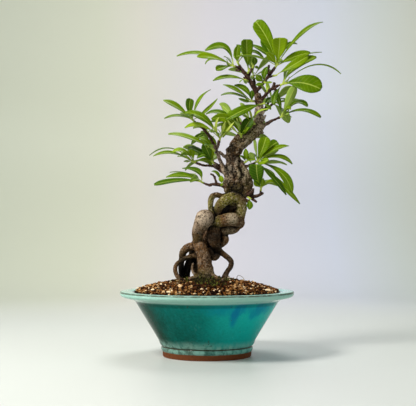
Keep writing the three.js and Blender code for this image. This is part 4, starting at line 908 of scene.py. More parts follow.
def weather(piece, paths, roughness, lumps):
    """Bark relief along each limb, and attributes that colour it by place and lay painted shade into its
    creases.
    """
    samples = [(*path[i], tangent_at(path, i)) for path in paths for i in range(len(path))]
    tree = kdtree.KDTree(len(samples))
    for index, sample in enumerate(samples):
        tree.insert(sample[0], index)
    tree.balance()
    mesh = piece.data
    places, normals = surface_of(mesh)
    _, shaded_crease = hollows(mesh, places, normals)
    shift = np.zeros(len(places), dtype=np.float32)
    marks = {name: np.zeros(len(places), dtype=np.float32) for name in ("pale", "moss", "dark")}
    for i, corner in enumerate(places):
        place = Vector(corner) / MM
        _, index, _ = tree.find(place)
        _, radius, tangent = samples[index]
        for name, amount in zip(("pale", "moss", "dark"), bark_marks(place)):
            marks[name][i] = amount
        fissure = place - tangent * (place.dot(tangent) * FISSURE_STRETCH)
        ridge = 1 - 2.4 * abs(noise.noise(fissure / (1.4 + 0.1 * radius)))
        gnarled = max(0.0, min(1.0, (place.z - TRUNK_FOOT) / GNARL_RISE))
        lump = noise.noise(place / lumps)
        lump += 1.9 * gnarled * noise.noise(place / GNARL_SIZE + Vector((3, 9, 5)))
        wrinkle = noise.noise(place / WRINKLE_SIZE + Vector((7, 3, 1)))
        size = max(0.42, min(1.0, radius / 6)) * (1 + 1.8 * gnarled)
        height = roughness * size * (0.55 * ridge + 0.9 * lump + 0.4 * wrinkle)
        shift[i] = (height - CREASE_DEPTH * shaded_crease[i]) * MM
    mesh.vertices.foreach_set("co", (places + normals * shift[:, None]).ravel())
    mesh.update()
    marks["shaded_crease"] = shaded_crease
    # how hollow the weathered bark is, which the finish darkens as painted shade
    marks["grain_and_hollows"], _ = hollows(mesh, *surface_of(mesh))
    for name, values in marks.items():
        mesh.attributes.new(name, "FLOAT", "POINT").data.foreach_set("value", values)


def bark_finish(settings, name, main, flecks):
    """Bark of one main colour with pale, green and dark places, and painted shade in its hollows, creases and
    dark patches.
    """
    bark = Finish(name, 0.85, Specular_IOR_Level=0.1)
    place = bark.place()
    height = bark.calc("DIVIDE", bark.split(place)[2], MM)
    patch = bark.noise(place, 170.0, 5.0, 0.65)
    blotch = bark.noise(place, 330.0, 4.0, 0.6)
    speck = bark.noise(place, 760.0, 4.0, 0.6)
    fleck = bark.noise(place, 520.0, 3.0, 0.7)
    pale, moss, dark, shaded_crease, grain_and_hollows = map(bark.attribute, ("pale", "moss", "dark", "shaded_crease", "grain_and_hollows"))
    light = [min(1, channel * 1.7) for channel in main]
    colour = bark.ramp(speck, [(0.3, settings.bark_dark), (0.5, main), (0.74, light)])
    colour = bark.coat(colour, settings.bark_dark, bark.ease(blotch, 0.5, 0.35), 0.6)
    colour = bark.coat(colour, settings.bark_pale, bark.ease(patch, 0.5, 0.72), 0.25 * flecks)
    colour = bark.coat(colour, settings.moss, moss, bark.ease(blotch, 0.3, 0.5))
    uneven = bark.plus(bark.times(blotch, 0.5), bark.times(speck, 0.5))
    colour = bark.coat(colour, settings.bark_pale, pale, bark.ease(uneven, 0.38, 0.54), 0.9)
    speckled = bark.ease(height, *SPECKLED_HEIGHTS)
    for floor in (moss, bark.times(pale, 0.5), 0.35):
        speckled = bark.calc("MAXIMUM", speckled, floor)
    speckled = bark.times(speckled, flecks)
    colour = bark.coat(colour, settings.bark_pale, bark.ease(fleck, 0.54, 0.64), 0.7, speckled)
    colour = bark.coat(colour, settings.bark_dark, bark.ease(fleck, 0.49, 0.37), 0.85, speckled)
    # paler on the bulges, and painted shade darkening the hollows
    colour = bark.coat(colour, settings.bark_pale, bark.ease(grain_and_hollows, -0.05, -0.17), 0.3 * flecks)
    colour = bark.coat(colour, settings.bark_dark, bark.ease(grain_and_hollows, -0.01, 0.09), 0.85)
    # painted shade from the dark share of the patches
    colour = bark.coat(colour, settings.bark_dark, dark)
    # painted shade in the creases between limbs
    colour = bark.coat(colour, settings.shaded_crease, shaded_crease, 1.2)
    bark.colour(colour)
    bark.relief(bark.plus(bark.times(fleck, 1.4), blotch, patch), 1.2 * MM)
    return bark


def limb_groups():
    """The thick limbs with their ribs, and the thin ones."""
    thick = [
        TRUNK, TRUNK_LEFT, TRUNK_RIGHT, TRUNK_BACK, BACKBONE, FRONT_ROOT, KNOB_LIMB, UPPER_LIMB, RIGHT_ARCH,
        CENTRE_ROOT, BACK_LOOP, BACK_ROOT, THIN_LOOP, RIGHT_LOBE, LOW_LOBE, LEFT_ARCH_ROOT, LEFT_THIN_ROOT,
        DARK_ROOT, *SURFACE_ROOTS, *RIBS,
    ]
    spurs = [[[*shoot[1], SPUR_RADIUS], [*shoot[2], SPUR_RADIUS * 0.85]] for shoot in SHOOTS + WHORLS]
    return thick, [*BRANCHES, *STUBS, *KNOBS, *spurs]


def roots_below(height):
    """Points and radii along the thick limbs, up to a height."""
    thick, _ = limb_groups()
    return [sample for limb in thick for sample in smooth_path(limb, 2.0) if sample[0].z < height]


def soil_height(x, y):
    """The height of the mound at a place."""
    share = min(1.0, math.hypot(x, y) / SOIL_RADIUS)
    return SOIL_EDGE_HEIGHT + SOIL_RISE * (1 - share ** 2.2)


def leaf_width(share, blunt):
    """Half width of a leaf as a share of the greatest, from its base at 0 to its tip at 1."""
    if share < STALK_SHARE:
        return STALK_WIDTH
    widest = 0.58 + 0.14 * blunt
    along = (share - STALK_SHARE) / (1 - STALK_SHARE)
    if along < widest:
        return max(STALK_WIDTH, math.sin(math.pi / 2 * along / widest) ** 1.3)
    return max(TIP_FLOOR, 1 - ((along - widest) / (1 - widest)) ** (1.8 + 0.8 * blunt)) ** (0.8 - 0.3 * blunt)


def bluntness(width):
    """Broad leaves have round tips where nothing else is said."""
    return max(0.0, min(1.0, (width - 7) / 5))


def open_leaf(mesh, layers, base, middle, tip, width, face, tone, blunt, wave):
    """A thin blade with a raised edge on a curve through its base, middle and tip."""
    bow = 2 * middle - 0.5 * base - 0.5 * tip
    half = min(width, LEAF_WIDTH_MAX * (tip - base).length) / 2
    twist = LEAF_TWIST * math.sin(5 * wave)
    across, along = 6, 18
    corners = bmesh.ops.create_grid(mesh, x_segments=across, y_segments=along, size=0.5)["verts"]
    for grid_face in {grid_face for corner in corners for grid_face in corner.link_faces}:
        for loop in grid_face.loops:
            loop[layers["uv"]].uv = (loop.vert.co.x + 0.5, loop.vert.co.y + 0.5)
    for corner in corners:
        side_share = 2 * corner.co.x
        share = corner.co.y + 0.5
        spine = base * (1 - share) ** 2 + bow * (2 * share * (1 - share)) + tip * share ** 2
        tangent = ((bow - base) * (1 - share) + (tip - bow) * share).normalized()
        side = Matrix.Rotation(twist * share, 3, tangent) @ tangent.cross(face).normalized()
        normal = side.cross(tangent)
        reach = half * leaf_width(share, blunt)
        lift = LEAF_FOLD * reach * abs(side_share) ** 1.4
        lift += LEAF_RIPPLE * half * math.sin(9 * share + wave + 2 * side_share) * side_share ** 2
        lift -= MIDRIB_SINK * half * max(0, 1 - abs(3 * side_share))
        corner.co = (spine + side * (side_share * reach) + normal * lift) * MM
        corner[layers["tone"]] = tone


def whorl_leaves(whorl, seed):
    """The leaves of a whorl on the far side: spread by the golden angle, arching up and then over."""
    state = seed

    def chance():
        nonlocal state
        state = (state * CHANCE_FACTOR) % CHANCE_PRIME
        return state / CHANCE_PRIME

    _, start, at, count, reach = whorl
    axis = (Vector(at) - Vector(start)).normalized()
    side = Vector((-axis.y, axis.x, 0)).normalized()
    over = axis.cross(side)
    leaves = []
    for k in range(count):
        turn = WHORL_ANGLE * k + 0.5 * chance()
        lean = 0.75 + 0.45 * chance()
        length = reach * (0.8 + 0.35 * chance())
        width = length * (0.26 + 0.08 * chance())
        outward = side * math.cos(turn) + over * math.sin(turn)
        heading = axis * math.cos(lean) + outward * math.sin(lean)
        middle = Vector(at) + heading * (length * 0.52) + Vector((0, 0, length * 0.13))
        tip = Vector(at) + heading * length + Vector((0, 0, length * 0.04))
        leaves.append([tip, middle, width, [axis.x, axis.y, axis.z + 0.9]])
    return leaves


class BONSAI_OT_pot(bpy.types.Operator):
    """Turn the pot and glaze it"""

    bl_idname = "bonsai.pot"
    bl_label = "Pot"

    # Blue runs in the glaze: centre, lean from upright in radians, half length, half width, strength
    STREAKS = [
        ((26, -60, 44), 0.3, 12, 4.6, 0.85),
        ((30, -60, 50), 0.7, 10, 5.0, 0.7),
        ((48, -44, 48), 0.8, 12, 5.0, 0.75),
        ((26, -60, 51), 1.5, 36, 7.0, 0.5),
        ((58, -34, 50), 1.0, 10, 4.4, 0.5),
        ((-30, 60, 44), 0.4, 12, 3.4, 0.9),
        ((-48, 48, 49), 0.8, 9, 3.0, 0.7),
        ((18, 64, 49), -0.5, 9, 3.2, 0.7),
    ]
    STREAK_DEPTH = 30

    DRILL_FACETS = 40
    DRILL_LENGTH = 14
    DRILL_CENTRE = 4

    # Heights between which each change of the glaze, and the painted shade under the lip, fades in, or in and
    # out again
    BARE_CLAY = (5.8, 5.2)
    DARK_BAND = (14, 10.5)
    FOOT_BAND = (20, 11)
    LIP_SHADOW = (50.5, 53, 55, 57)
    MOUTH = (61.5, 62.5)
    RIM_EDGE = (62.5, 63.1, 64.2, 64.5)
    RIM_TOP = (62.8, 63.8)

    # Distances from the pot's axis between which each change fades in
    OUTER_WALL = (42, 43)
    RIM = (71.6, 75)
    MOUTH_REACH = (75.2, 74.4)
    INNER_RIM = (79, 75)
    RIM_EDGE_REACH = (84.8, 85.6)

    def execute(self, context):
        settings = context.scene.bonsai_pot
        mesh = bmesh.new()
        turned(mesh, [*POT_OUTSIDE, *reversed(POT_INSIDE), (0, POT_INSIDE[0][1])], settings.facets)
        pot = put("glazed_pot", mesh, [self.glaze(settings)], ["pot"])
        self.drill(pot)
        return {"FINISHED"}

    def drill(self, pot):
        """Cuts the two drain holes."""
        mesh = bmesh.new()
        for x in (-DRAIN_OFFSET, DRAIN_OFFSET):
            bmesh.ops.create_cone(
                mesh, cap_ends=True, segments=self.DRILL_FACETS, radius1=DRAIN_RADIUS * MM,
                radius2=DRAIN_RADIUS * MM, depth=self.DRILL_LENGTH * MM,
                matrix=Matrix.Translation(Vector((x, 0, self.DRILL_CENTRE)) * MM),
            )
        cutter = shape_of("drill", mesh)
        modifier = pot.modifiers.new("Drain holes", "BOOLEAN")
        modifier.operation = "DIFFERENCE"
        modifier.object = cutter
        apply_modifiers(pot)
        bpy.data.meshes.remove(cutter.data)

    def streak(self, glaze, place, runs, centre, lean, length, width):
        """1 inside a ragged slanting run of glaze, 0 outside it."""
        shifted = glaze.pair("ShaderNodeVectorMath", "SUBTRACT", place, Vector(centre) * MM)["Vector"]
        total = glaze.swing(runs, 2.4)
        along = Vector((math.sin(lean), 0, math.cos(lean)))
        across = Vector((math.cos(lean), 0, -math.sin(lean)))
        for axis, reach in ((along, length), (across, width), (Vector((0, 1, 0)), self.STREAK_DEPTH)):
            offset = glaze.pair("ShaderNodeVectorMath", "DOT_PRODUCT", shifted, axis / (reach * MM))["Value"]
            total = glaze.plus(total, glaze.times(offset, offset))
        return glaze.ease(total, 1.4, -0.3)

    def glaze(self, settings):
        """Turquoise glaze, thin and brown on the rim's edge and in the groove, over a bare clay foot."""
        glaze = Finish("turquoise_glaze", 0.08, Specular_IOR_Level=0.04)
        place = glaze.place()
        x, y, height = [glaze.calc("DIVIDE", part, MM) for part in glaze.split(place)]
        radius = glaze.calc("SQRT", glaze.plus(glaze.times(x, x), glaze.times(y, y)))
        cloud = glaze.noise(glaze.stretched(place, (1.0, 1.0, 0.6)), 22.0, 4.0, 0.6)
        runs = glaze.noise(glaze.stretched(place, (1.0, 1.0, 0.2)), 150.0, 4.0, 0.65)
        mottle = glaze.noise(place, 420.0, 4.0, 0.7)
        clots = glaze.noise(place, 190.0, 5.0, 0.65)
        broken = glaze.ease(glaze.noise(place, 130.0, 4.0, 0.7), 0.2, 0.55)
        fleck = glaze.ease(glaze.noise(place, 240.0, 2.0, 0.5), 0.7, 0.76)
        level = glaze.plus(height, glaze.swing(cloud, 9.0))
        wavering = glaze.plus(height, glaze.swing(cloud, 1.4))
        # brighter towards +X and towards the top, besides the clouds and the mottle
        bright = glaze.plus(glaze.swing(cloud, 0.45), glaze.times(x, 0.0056), glaze.times(height, 0.004))
        bright = glaze.plus(bright, glaze.swing(mottle, 0.25))
        colour = glaze.coat(settings.glaze_deep, settings.glaze_bright, glaze.ease(bright, -0.28, 0.62))
        colour = glaze.coat(colour, settings.glaze_pale, glaze.ease(runs, 0.58, 0.8), 0.1)
        for centre, lean, length, width, strength in self.STREAKS:
            share = self.streak(glaze, place, runs, centre, lean, length, width)
            colour = glaze.coat(colour, settings.streak, share, strength)
        # painted shade in a band under the overhanging lip
        colour = glaze.coat(colour, settings.glaze_deep, glaze.band(height, *self.LIP_SHADOW), 0.45)
        foot_band = glaze.ease(level, *self.FOOT_BAND)
        colour = glaze.coat(colour, settings.glaze_pale, foot_band, glaze.ease(clots, 0.2, 0.62), 0.5)
        dark_band = glaze.ease(level, *self.DARK_BAND)
        colour = glaze.coat(colour, settings.bare, dark_band, glaze.ease(clots, 0.6, 0.36), 0.5)
        paleness = glaze.plus(0.84, glaze.times(glaze.ease(mottle, 0.35, 0.65), 0.14))
        colour = glaze.coat(colour, settings.glaze_pale, glaze.ease(radius, *self.RIM), paleness)
        inner_rim = glaze.times(glaze.ease(radius, *self.INNER_RIM), glaze.ease(height, *self.RIM_TOP))
        colour = glaze.coat(colour, settings.glaze_bright, inner_rim, 0.6)
        rim_edge = glaze.times(glaze.band(height, *self.RIM_EDGE), glaze.ease(radius, *self.RIM_EDGE_REACH))
        colour = glaze.coat(colour, settings.bare, rim_edge, broken, 0.8)
        mouth = glaze.times(glaze.ease(radius, *self.MOUTH_REACH), glaze.ease(height, *self.MOUTH))
        colour = glaze.coat(colour, settings.bare, mouth, broken, 0.7)
        off_groove = glaze.calc("ABSOLUTE", glaze.calc("SUBTRACT", wavering, GROOVE_HEIGHT))
        groove = glaze.times(glaze.ease(off_groove, 1.0, 0.35), glaze.ease(radius, *self.OUTER_WALL))
        colour = glaze.coat(colour, settings.bare, groove, 0.88)
        foot = glaze.ease(wavering, *self.BARE_CLAY)
        colour = glaze.coat(colour, glaze.coat(settings.clay, settings.bare, mottle, 0.7), foot)
        colour = glaze.coat(colour, settings.bare, fleck, 0.7)
        glaze.colour(colour)
        glaze.rough(glaze.plus(glaze.times(foot, 0.65), glaze.times(mottle, 0.12)))
        glaze.relief(glaze.plus(mottle, glaze.times(cloud, 3.0)), 0.5 * MM, 0.08)
        return glaze


class BONSAI_OT_drainage(bpy.types.Operator):
    """Give the drain meshes and their wires their materials"""

    bl_idname = "bonsai.drainage"
    bl_label = "Drain meshes"

    def execute(self, context):
        plastic = grained_finish("mesh_plastic", 0.6, 800.0, paint(26, 30, 26), paint(48, 52, 46), relief=0.4)
        wire = grained_finish(
            "aluminium_wire", 0.35, 600.0, paint(120, 116, 108), paint(184, 182, 176), Metallic=1.0
        )
        for node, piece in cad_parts.items():
            for prefix, finish in (("drain_mesh", plastic), ("drain_wire", wire)):
                if node.startswith(prefix):
                    piece.data.materials.clear()
                    piece.data.materials.append(finish.material)
        return {"FINISHED"}


class BONSAI_OT_soil(bpy.types.Operator):
    """Fill the pot and scatter granules over the mound"""

    bl_idname = "bonsai.soil"
    bl_label = "Soil"

    SEED = 5
    BED_RINGS = 44
    BED_FACETS = 110
    BED_SINK = 0.9  # how far the bed lies under the mound's surface
    PARTS = 4  # pieces that the granules are shared out to
    ROOTS_END = 84  # height above which no root touches a granule
    SIZES = (0.6, 0.75, 0.9, 1.0, 1.0, 1.2, 1.45)

    # The darker granules in front of the tree, round a middle on the y axis
    DARK_SOIL_MIDDLE = -26
    DARK_SOIL_RADIUS = 22
    DARK_SOIL_FACTOR = 0.4

    def execute(self, context):
        settings = context.scene.bonsai_soil
        finish = self.finish()
        self.bed(finish)
        self.granules(settings, finish)
        return {"FINISHED"}

    def bed(self, finish):
        mesh = bmesh.new()
        radii = [(1 - i / self.BED_RINGS) * SOIL_RADIUS for i in range(1, self.BED_RINGS + 1)]
        profile = SOIL_FLOOR + [(radius, soil_height(radius, 0) - self.BED_SINK) for radius in radii]
        turned(mesh, profile, self.BED_FACETS)
        tint = mesh.verts.layers.float.new("tint")
        for corner in mesh.verts:
            place = corner.co / MM
            if place.z > SOIL_EDGE_HEIGHT - 0.5:
                corner.co.z += 1.1 * noise.noise(place / 2.3) * MM
            # the bed is kept dark: painted shade in the gaps between the granules
            corner[tint] = 0.05 + 0.15 * noise.noise(place / 3.0)
        put("soil_bed", mesh, [finish], ["soil"])

    def granules(self, settings, finish):
        wood = roots_below(self.ROOTS_END)
        chance = random.Random(self.SEED)
        for part in range(self.PARTS):
            mesh = bmesh.new()
            tint = mesh.verts.layers.float.new("tint")
            for k in range(part, settings.granules, self.PARTS):
                self.granule(mesh, tint, k, settings, wood, chance)
            put(f"soil_granules_{part}", mesh, [finish], smooth=False)

    def granule(self, mesh, tint, k, settings, wood, chance):
        """One granule of the spiral that covers the mound, unless a root is in its place."""
        distance = (SOIL_RADIUS - 0.6) * math.sqrt((k + 0.5) / settings.granules)
        turn = GOLDEN_ANGLE * k + chance.uniform(-0.4, 0.4)
        x, y = distance * math.cos(turn), distance * math.sin(turn)
        size = settings.granule_size / MM * chance.choice(self.SIZES)
        if distance > SOIL_RADIUS - 3:
            size *= 0.75
        place = Vector((x, y, soil_height(x, y) + chance.uniform(-0.7, 0.75) * size))
        if any((place - point).length < radius + 0.3 * size for point, radius in wood):
            return
        roll = Matrix.Rotation(chance.uniform(0, TURN), 4, "Z")
        roll = roll @ Matrix.Rotation(chance.uniform(0, TURN), 4, "X")
        stretch = (chance.uniform(0.75, 1.5), chance.uniform(0.55, 1.0), chance.uniform(0.4, 0.75), 1)
        shape = Matrix.Diagonal(stretch) @ Matrix.Scale(size * MM, 4)
        matrix = Matrix.Translation(place * MM) @ roll @ shape
        corners = bmesh.ops.create_icosphere(mesh, subdivisions=1, radius=1, matrix=matrix)["verts"]
        shade = chance.random()
        ragged = self.DARK_SOIL_RADIUS + 12 * noise.noise(Vector((x, y, 0)) / 9)
        if math.hypot(x, 0.75 * (y - self.DARK_SOIL_MIDDLE)) < ragged:
            shade *= self.DARK_SOIL_FACTOR
        for corner in corners:
            chip = Vector((chance.uniform(-1, 1), chance.uniform(-1, 1), chance.uniform(-1, 1)))
            corner.co += chip * (0.26 * size * MM)
            corner[tint] = shade

    def finish(self):
        """Baked clay, bark and pumice."""
        soil = Finish("potting_mix", 0.9, Specular_IOR_Level=0.08)
        grain_and_hollows = soil.noise(soil.place(), 1100.0, 3.0, 0.6)
        mixed = soil.plus(soil.attribute("tint"), soil.swing(grain_and_hollows, 0.22))
        soil.colour(soil.ramp(mixed, [
            (0.0, paint(12, 4, 1)), (0.25, paint(50, 23, 6)), (0.5, paint(98, 56, 21)),
            (0.74, paint(132, 90, 46)), (0.88, paint(180, 138, 88)), (0.97, paint(236, 212, 172)),
        ]))
        soil.relief(grain_and_hollows, 0.4 * MM, 0.8)
        return soil


class BONSAI_OT_moss(bpy.types.Operator):
    """Grow moss and fine rootlets round the foot of the tree"""

    bl_idname = "bonsai.moss"
    bl_label = "Moss and rootlets"

    # Moss patches: centre, spread, and weight in the draw of where a sprig grows
    PATCHES = [
        ((-2, -20), 10, 0.2), ((12, -17), 10, 0.14), ((-17, -17), 12, 0.16), ((2, -32), 15, 0.22),
        ((3, -42), 13, 0.14), ((22, -8), 8, 0.06), ((-24, 2), 9, 0.06), ((0, 22), 12, 0.1),
    ]
    SPRIG_SEED = 11
    ROOTLET_SEED = 3
    ROOTS_END = 96  # height above which no root touches a sprig
    BARE_SPOTS = 4.5  # size of the gaps between the tufts
    ROOTLETS = [(21, -5), (24, -4), (26, -6), (28, -3), (-27, -12), (16, -12), (-10, -20), (6, 24)]

    def execute(self, context):
        self.sprigs(context.scene.bonsai_soil)
        self.rootlets()
        return {"FINISHED"}

    def sprigs(self, settings):
        wood = roots_below(self.ROOTS_END)
        chance = random.Random(self.SPRIG_SEED)
        mesh = bmesh.new()
        tint = mesh.verts.layers.float.new("tint")
        weights = [patch[2] for patch in self.PATCHES]
        for _ in range(settings.sprigs):
            (x, y), spread, _ = chance.choices(self.PATCHES, weights)[0]
            x, y = chance.gauss(x, spread * 0.5), chance.gauss(y, spread * 0.5)
            if noise.noise(Vector((x, y, 0)) / self.BARE_SPOTS) < -0.06:
                continue
            ground = Vector((x, y, soil_height(x, y) + 0.6))
            inside = [(point, radius) for point, radius in wood if (ground - point).length < radius]
            if inside:
                point, radius = inside[0]
                away = Vector((x - point.x, y - point.y - 2, 1.2)).normalized()
                ground = point + away * (radius + 0.1)
            lean = Vector((chance.gauss(0, 0.5), chance.gauss(0, 0.5) - 0.2, 1)).normalized()
            height = chance.uniform(1.2, 3.4)
            corners = bmesh.ops.create_cone(
                mesh, cap_ends=True, segments=3, radius1=chance.uniform(0.35, 0.7) * MM, radius2=0.05 * MM,
                depth=height * MM, matrix=standing(ground + lean * (height / 2 - 0.3), lean),
            )["verts"]
            shade = chance.random() ** 2
            for corner in corners:
                corner[tint] = shade
        put("moss", mesh, [self.moss()], smooth=False)

    def moss(self):
        moss = Finish("moss", 0.8, Specular_IOR_Level=0.15)
        grain_and_hollows = moss.noise(moss.place(), 1500.0)
        shade = moss.plus(moss.attribute("tint"), moss.times(grain_and_hollows, 0.15))
        moss.colour(moss.ramp(shade, [
            (0.0, paint(24, 19, 7)), (0.4, paint(44, 38, 14)), (0.8, paint(72, 72, 22)),
            (1.0, paint(116, 122, 40)),
        ]))
        moss.relief(grain_and_hollows, 0.1 * MM, 0.5)
        return moss

    def rootlets(self):
        """Fine roots that arch out of the soil and back into it."""
        mesh = bmesh.new()
        chance = random.Random(self.ROOTLET_SEED)
        for x, y in self.ROOTLETS:
            ground = soil_height(x, y)
            heading = chance.uniform(0, TURN)
            curl = chance.uniform(0.7, 1.3)
            stations = []
            for k in range(7):
                turn = heading + 0.9 * curl * k
                stations.append([
                    x + 1.4 * k * math.cos(heading) + 1.1 * math.cos(turn), y + 1.1 * math.sin(turn),
                    ground - 0.6 + 5.2 * math.sin(math.pi * k / 6.4) * curl, 0.3 - 0.02 * k,
                ])
            grow_limb(mesh, smooth_path(stations, 0.8), 6)
        fibre = grained_finish("rootlet", 0.8, 900.0, paint(74, 58, 40), paint(132, 112, 82), relief=0.5)
        put("rootlets", mesh, [fibre])


class BONSAI_OT_wood(bpy.types.Operator):
    """Grow the roots, the trunk and the twigs"""

    bl_idname = "bonsai.wood"
    bl_label = "Roots, trunk and twigs"

    QUICK_SKIN = 2.0

    def execute(self, context):
        settings = context.scene.bonsai_tree
        thick, thin = limb_groups()
        bark = bark_finish(settings, "bark", settings.bark, flecks=1.0)
        self.grow("roots_and_trunk", thick, bark, settings.skin, sides=20, slim=1.0, relief=0.55, lumps=6.0)
        bark = bark_finish(settings, "twig_bark", settings.twig, flecks=0.2)
        self.grow("twigs", thin, bark, settings.twig_skin, sides=12, slim=0.8, relief=0.42, lumps=2.6)
        return {"FINISHED"}

    def grow(self, name, limbs, bark, skin, sides, slim, relief, lumps):
        """One piece of wood: tubes along its limbs under one skin of bark."""
        mesh = bmesh.new()
        paths = [[(point, radius * slim) for point, radius in smooth_path(limb, 1.6)] for limb in limbs]
        for path in paths:
            grow_limb(mesh, path, sides)
        piece = put(name, mesh, [bark], ["wood"])
        skin_over(piece, skin)
        weather(piece, paths, relief, lumps)


class BONSAI_OT_leaves(bpy.types.Operator):
    """Open the leaves of each shoot"""

    bl_idname = "bonsai.leaves"
    bl_label = "Leaves"

    SEED = 17
    YOUNG_LEAVES = 3
    STEM_FOOT = 1.15
    STEM_TIP = 0.7

    def execute(self, context):
        settings = context.scene.bonsai_leaves
        finishes = [self.upper(settings), self.under(settings)]
        chance = random.Random(self.SEED)
        for shoot in SHOOTS:
            self.shoot(*shoot, settings.thickness, finishes, chance)
        for i, whorl in enumerate(WHORLS):
            leaves = whorl_leaves(whorl, WHORL_SEED + WHORL_SEED_STEP * i)
            self.shoot(*whorl[:3], leaves, settings.thickness, finishes, chance)
        return {"FINISHED"}

    def shoot(self, name, start, at, leaves, thickness, finishes, chance):
        """The leaves of one shoot, up to three young ones in their middle, and the green stem."""
        start, at = Vector(start), Vector(at)
        axis = (at - start).normalized()
        mesh = bmesh.new()
        layers = {"uv": mesh.loops.layers.uv.new("blade"), "tone": mesh.verts.layers.float.new("tone")}
        base = at + axis * (SHOOT_LENGTH / 2)
        for tip, middle, width, face, *extra in leaves:
            wave = chance.uniform(0, 6)
            tone = extra[0] if extra else chance.uniform(0.15, 0.85)
            blunt = extra[1] if len(extra) > 1 else bluntness(width)
            open_leaf(mesh, layers, base, Vector(middle), Vector(tip), width, Vector(face), tone, blunt, wave)
        side = axis.orthogonal().normalized()
        crown = at + axis * SHOOT_LENGTH
        for k in range(min(self.YOUNG_LEAVES, len(leaves) // 2)):
            outward = Matrix.Rotation(2.1 * k + chance.random(), 3, axis) @ side
            length = chance.uniform(6, 10)
            middle = crown + (axis * 0.5 + outward * 0.2) * length
            tip = crown + (axis * 0.85 + outward * 0.6) * length
            open_leaf(mesh, layers, crown, middle, tip, length * 0.24, axis - outward, YOUNG_TONE, 0, 0)
        mesh.normal_update()
        solid = bmesh.ops.solidify(mesh, geom=list(mesh.faces), thickness=thickness)
        for part in solid["geom"]:
            if isinstance(part, bmesh.types.BMFace):
                part.material_index = 1
        stem = bmesh.ops.create_cone(
            mesh, cap_ends=True, segments=8, radius1=self.STEM_FOOT * MM, radius2=self.STEM_TIP * MM,
            depth=(SHOOT_LENGTH + 1) * MM, matrix=standing(base, axis),
        )["verts"]
        for corner in stem:
            corner[layers["tone"]] = YOUNG_TONE
        put("spray_" + name, mesh, finishes, ["leaves_" + NODE_OF.get(name, name)])

    def blade(self, name, roughness):
        """Shared parts of both faces: the midrib, the stalk and the veins."""
        leaf = Finish(name, roughness, Specular_IOR_Level=0.06)
        across, along, _ = leaf.split(leaf.add("ShaderNodeUVMap", {"uv_map": "blade"}).outputs[0])
        off_rib = leaf.calc("ABSOLUTE", leaf.calc("SUBTRACT", across, 0.5))
        rib = leaf.ease(off_rib, 0.05, 0.015)
        stalk = leaf.ease(along, 0.17, 0.07)
        slanted = leaf.calc("SUBTRACT", along, leaf.times(off_rib, 0.3))
        vein = leaf.ease(leaf.calc("SINE", leaf.times(slanted, 62.0)), 0.72, 1.0)
        return leaf, rib, stalk, vein

    def upper(self, settings):
        leaf, rib, stalk, vein = self.blade("leaf_upper", 0.28)
        tone = leaf.plus(leaf.attribute("tone"), leaf.swing(leaf.noise(leaf.place(), 90.0), 0.5))
        colour = leaf.coat(settings.leaf_dark, settings.leaf_light, leaf.ease(tone, 0.0, 1.0))
        for share, strength in ((leaf.ease(tone, 1.0, 1.5), 1.0), (vein, 0.1), (rib, 0.5), (stalk, 0.85)):
            colour = leaf.coat(colour, settings.midrib, share, strength)
        leaf.colour(colour)
        leaf.relief(leaf.plus(leaf.times(vein, -0.5), leaf.times(rib, -1.0)), 0.15 * MM, 0.6)
        return leaf

    def under(self, settings):
        leaf, rib, stalk, vein = self.blade("leaf_underside", 0.6)
        mottle = leaf.noise(leaf.place(), 120.0)
        colour = leaf.coat(settings.underside, settings.leaf_dark, mottle, 0.35)
        colour = leaf.coat(colour, settings.midrib, rib, 0.7)
        colour = leaf.coat(colour, settings.midrib, stalk, 0.85)
        leaf.colour(colour)
        leaf.relief(leaf.plus(vein, leaf.times(rib, 2.0)), 0.15 * MM, 0.6)
        return leaf


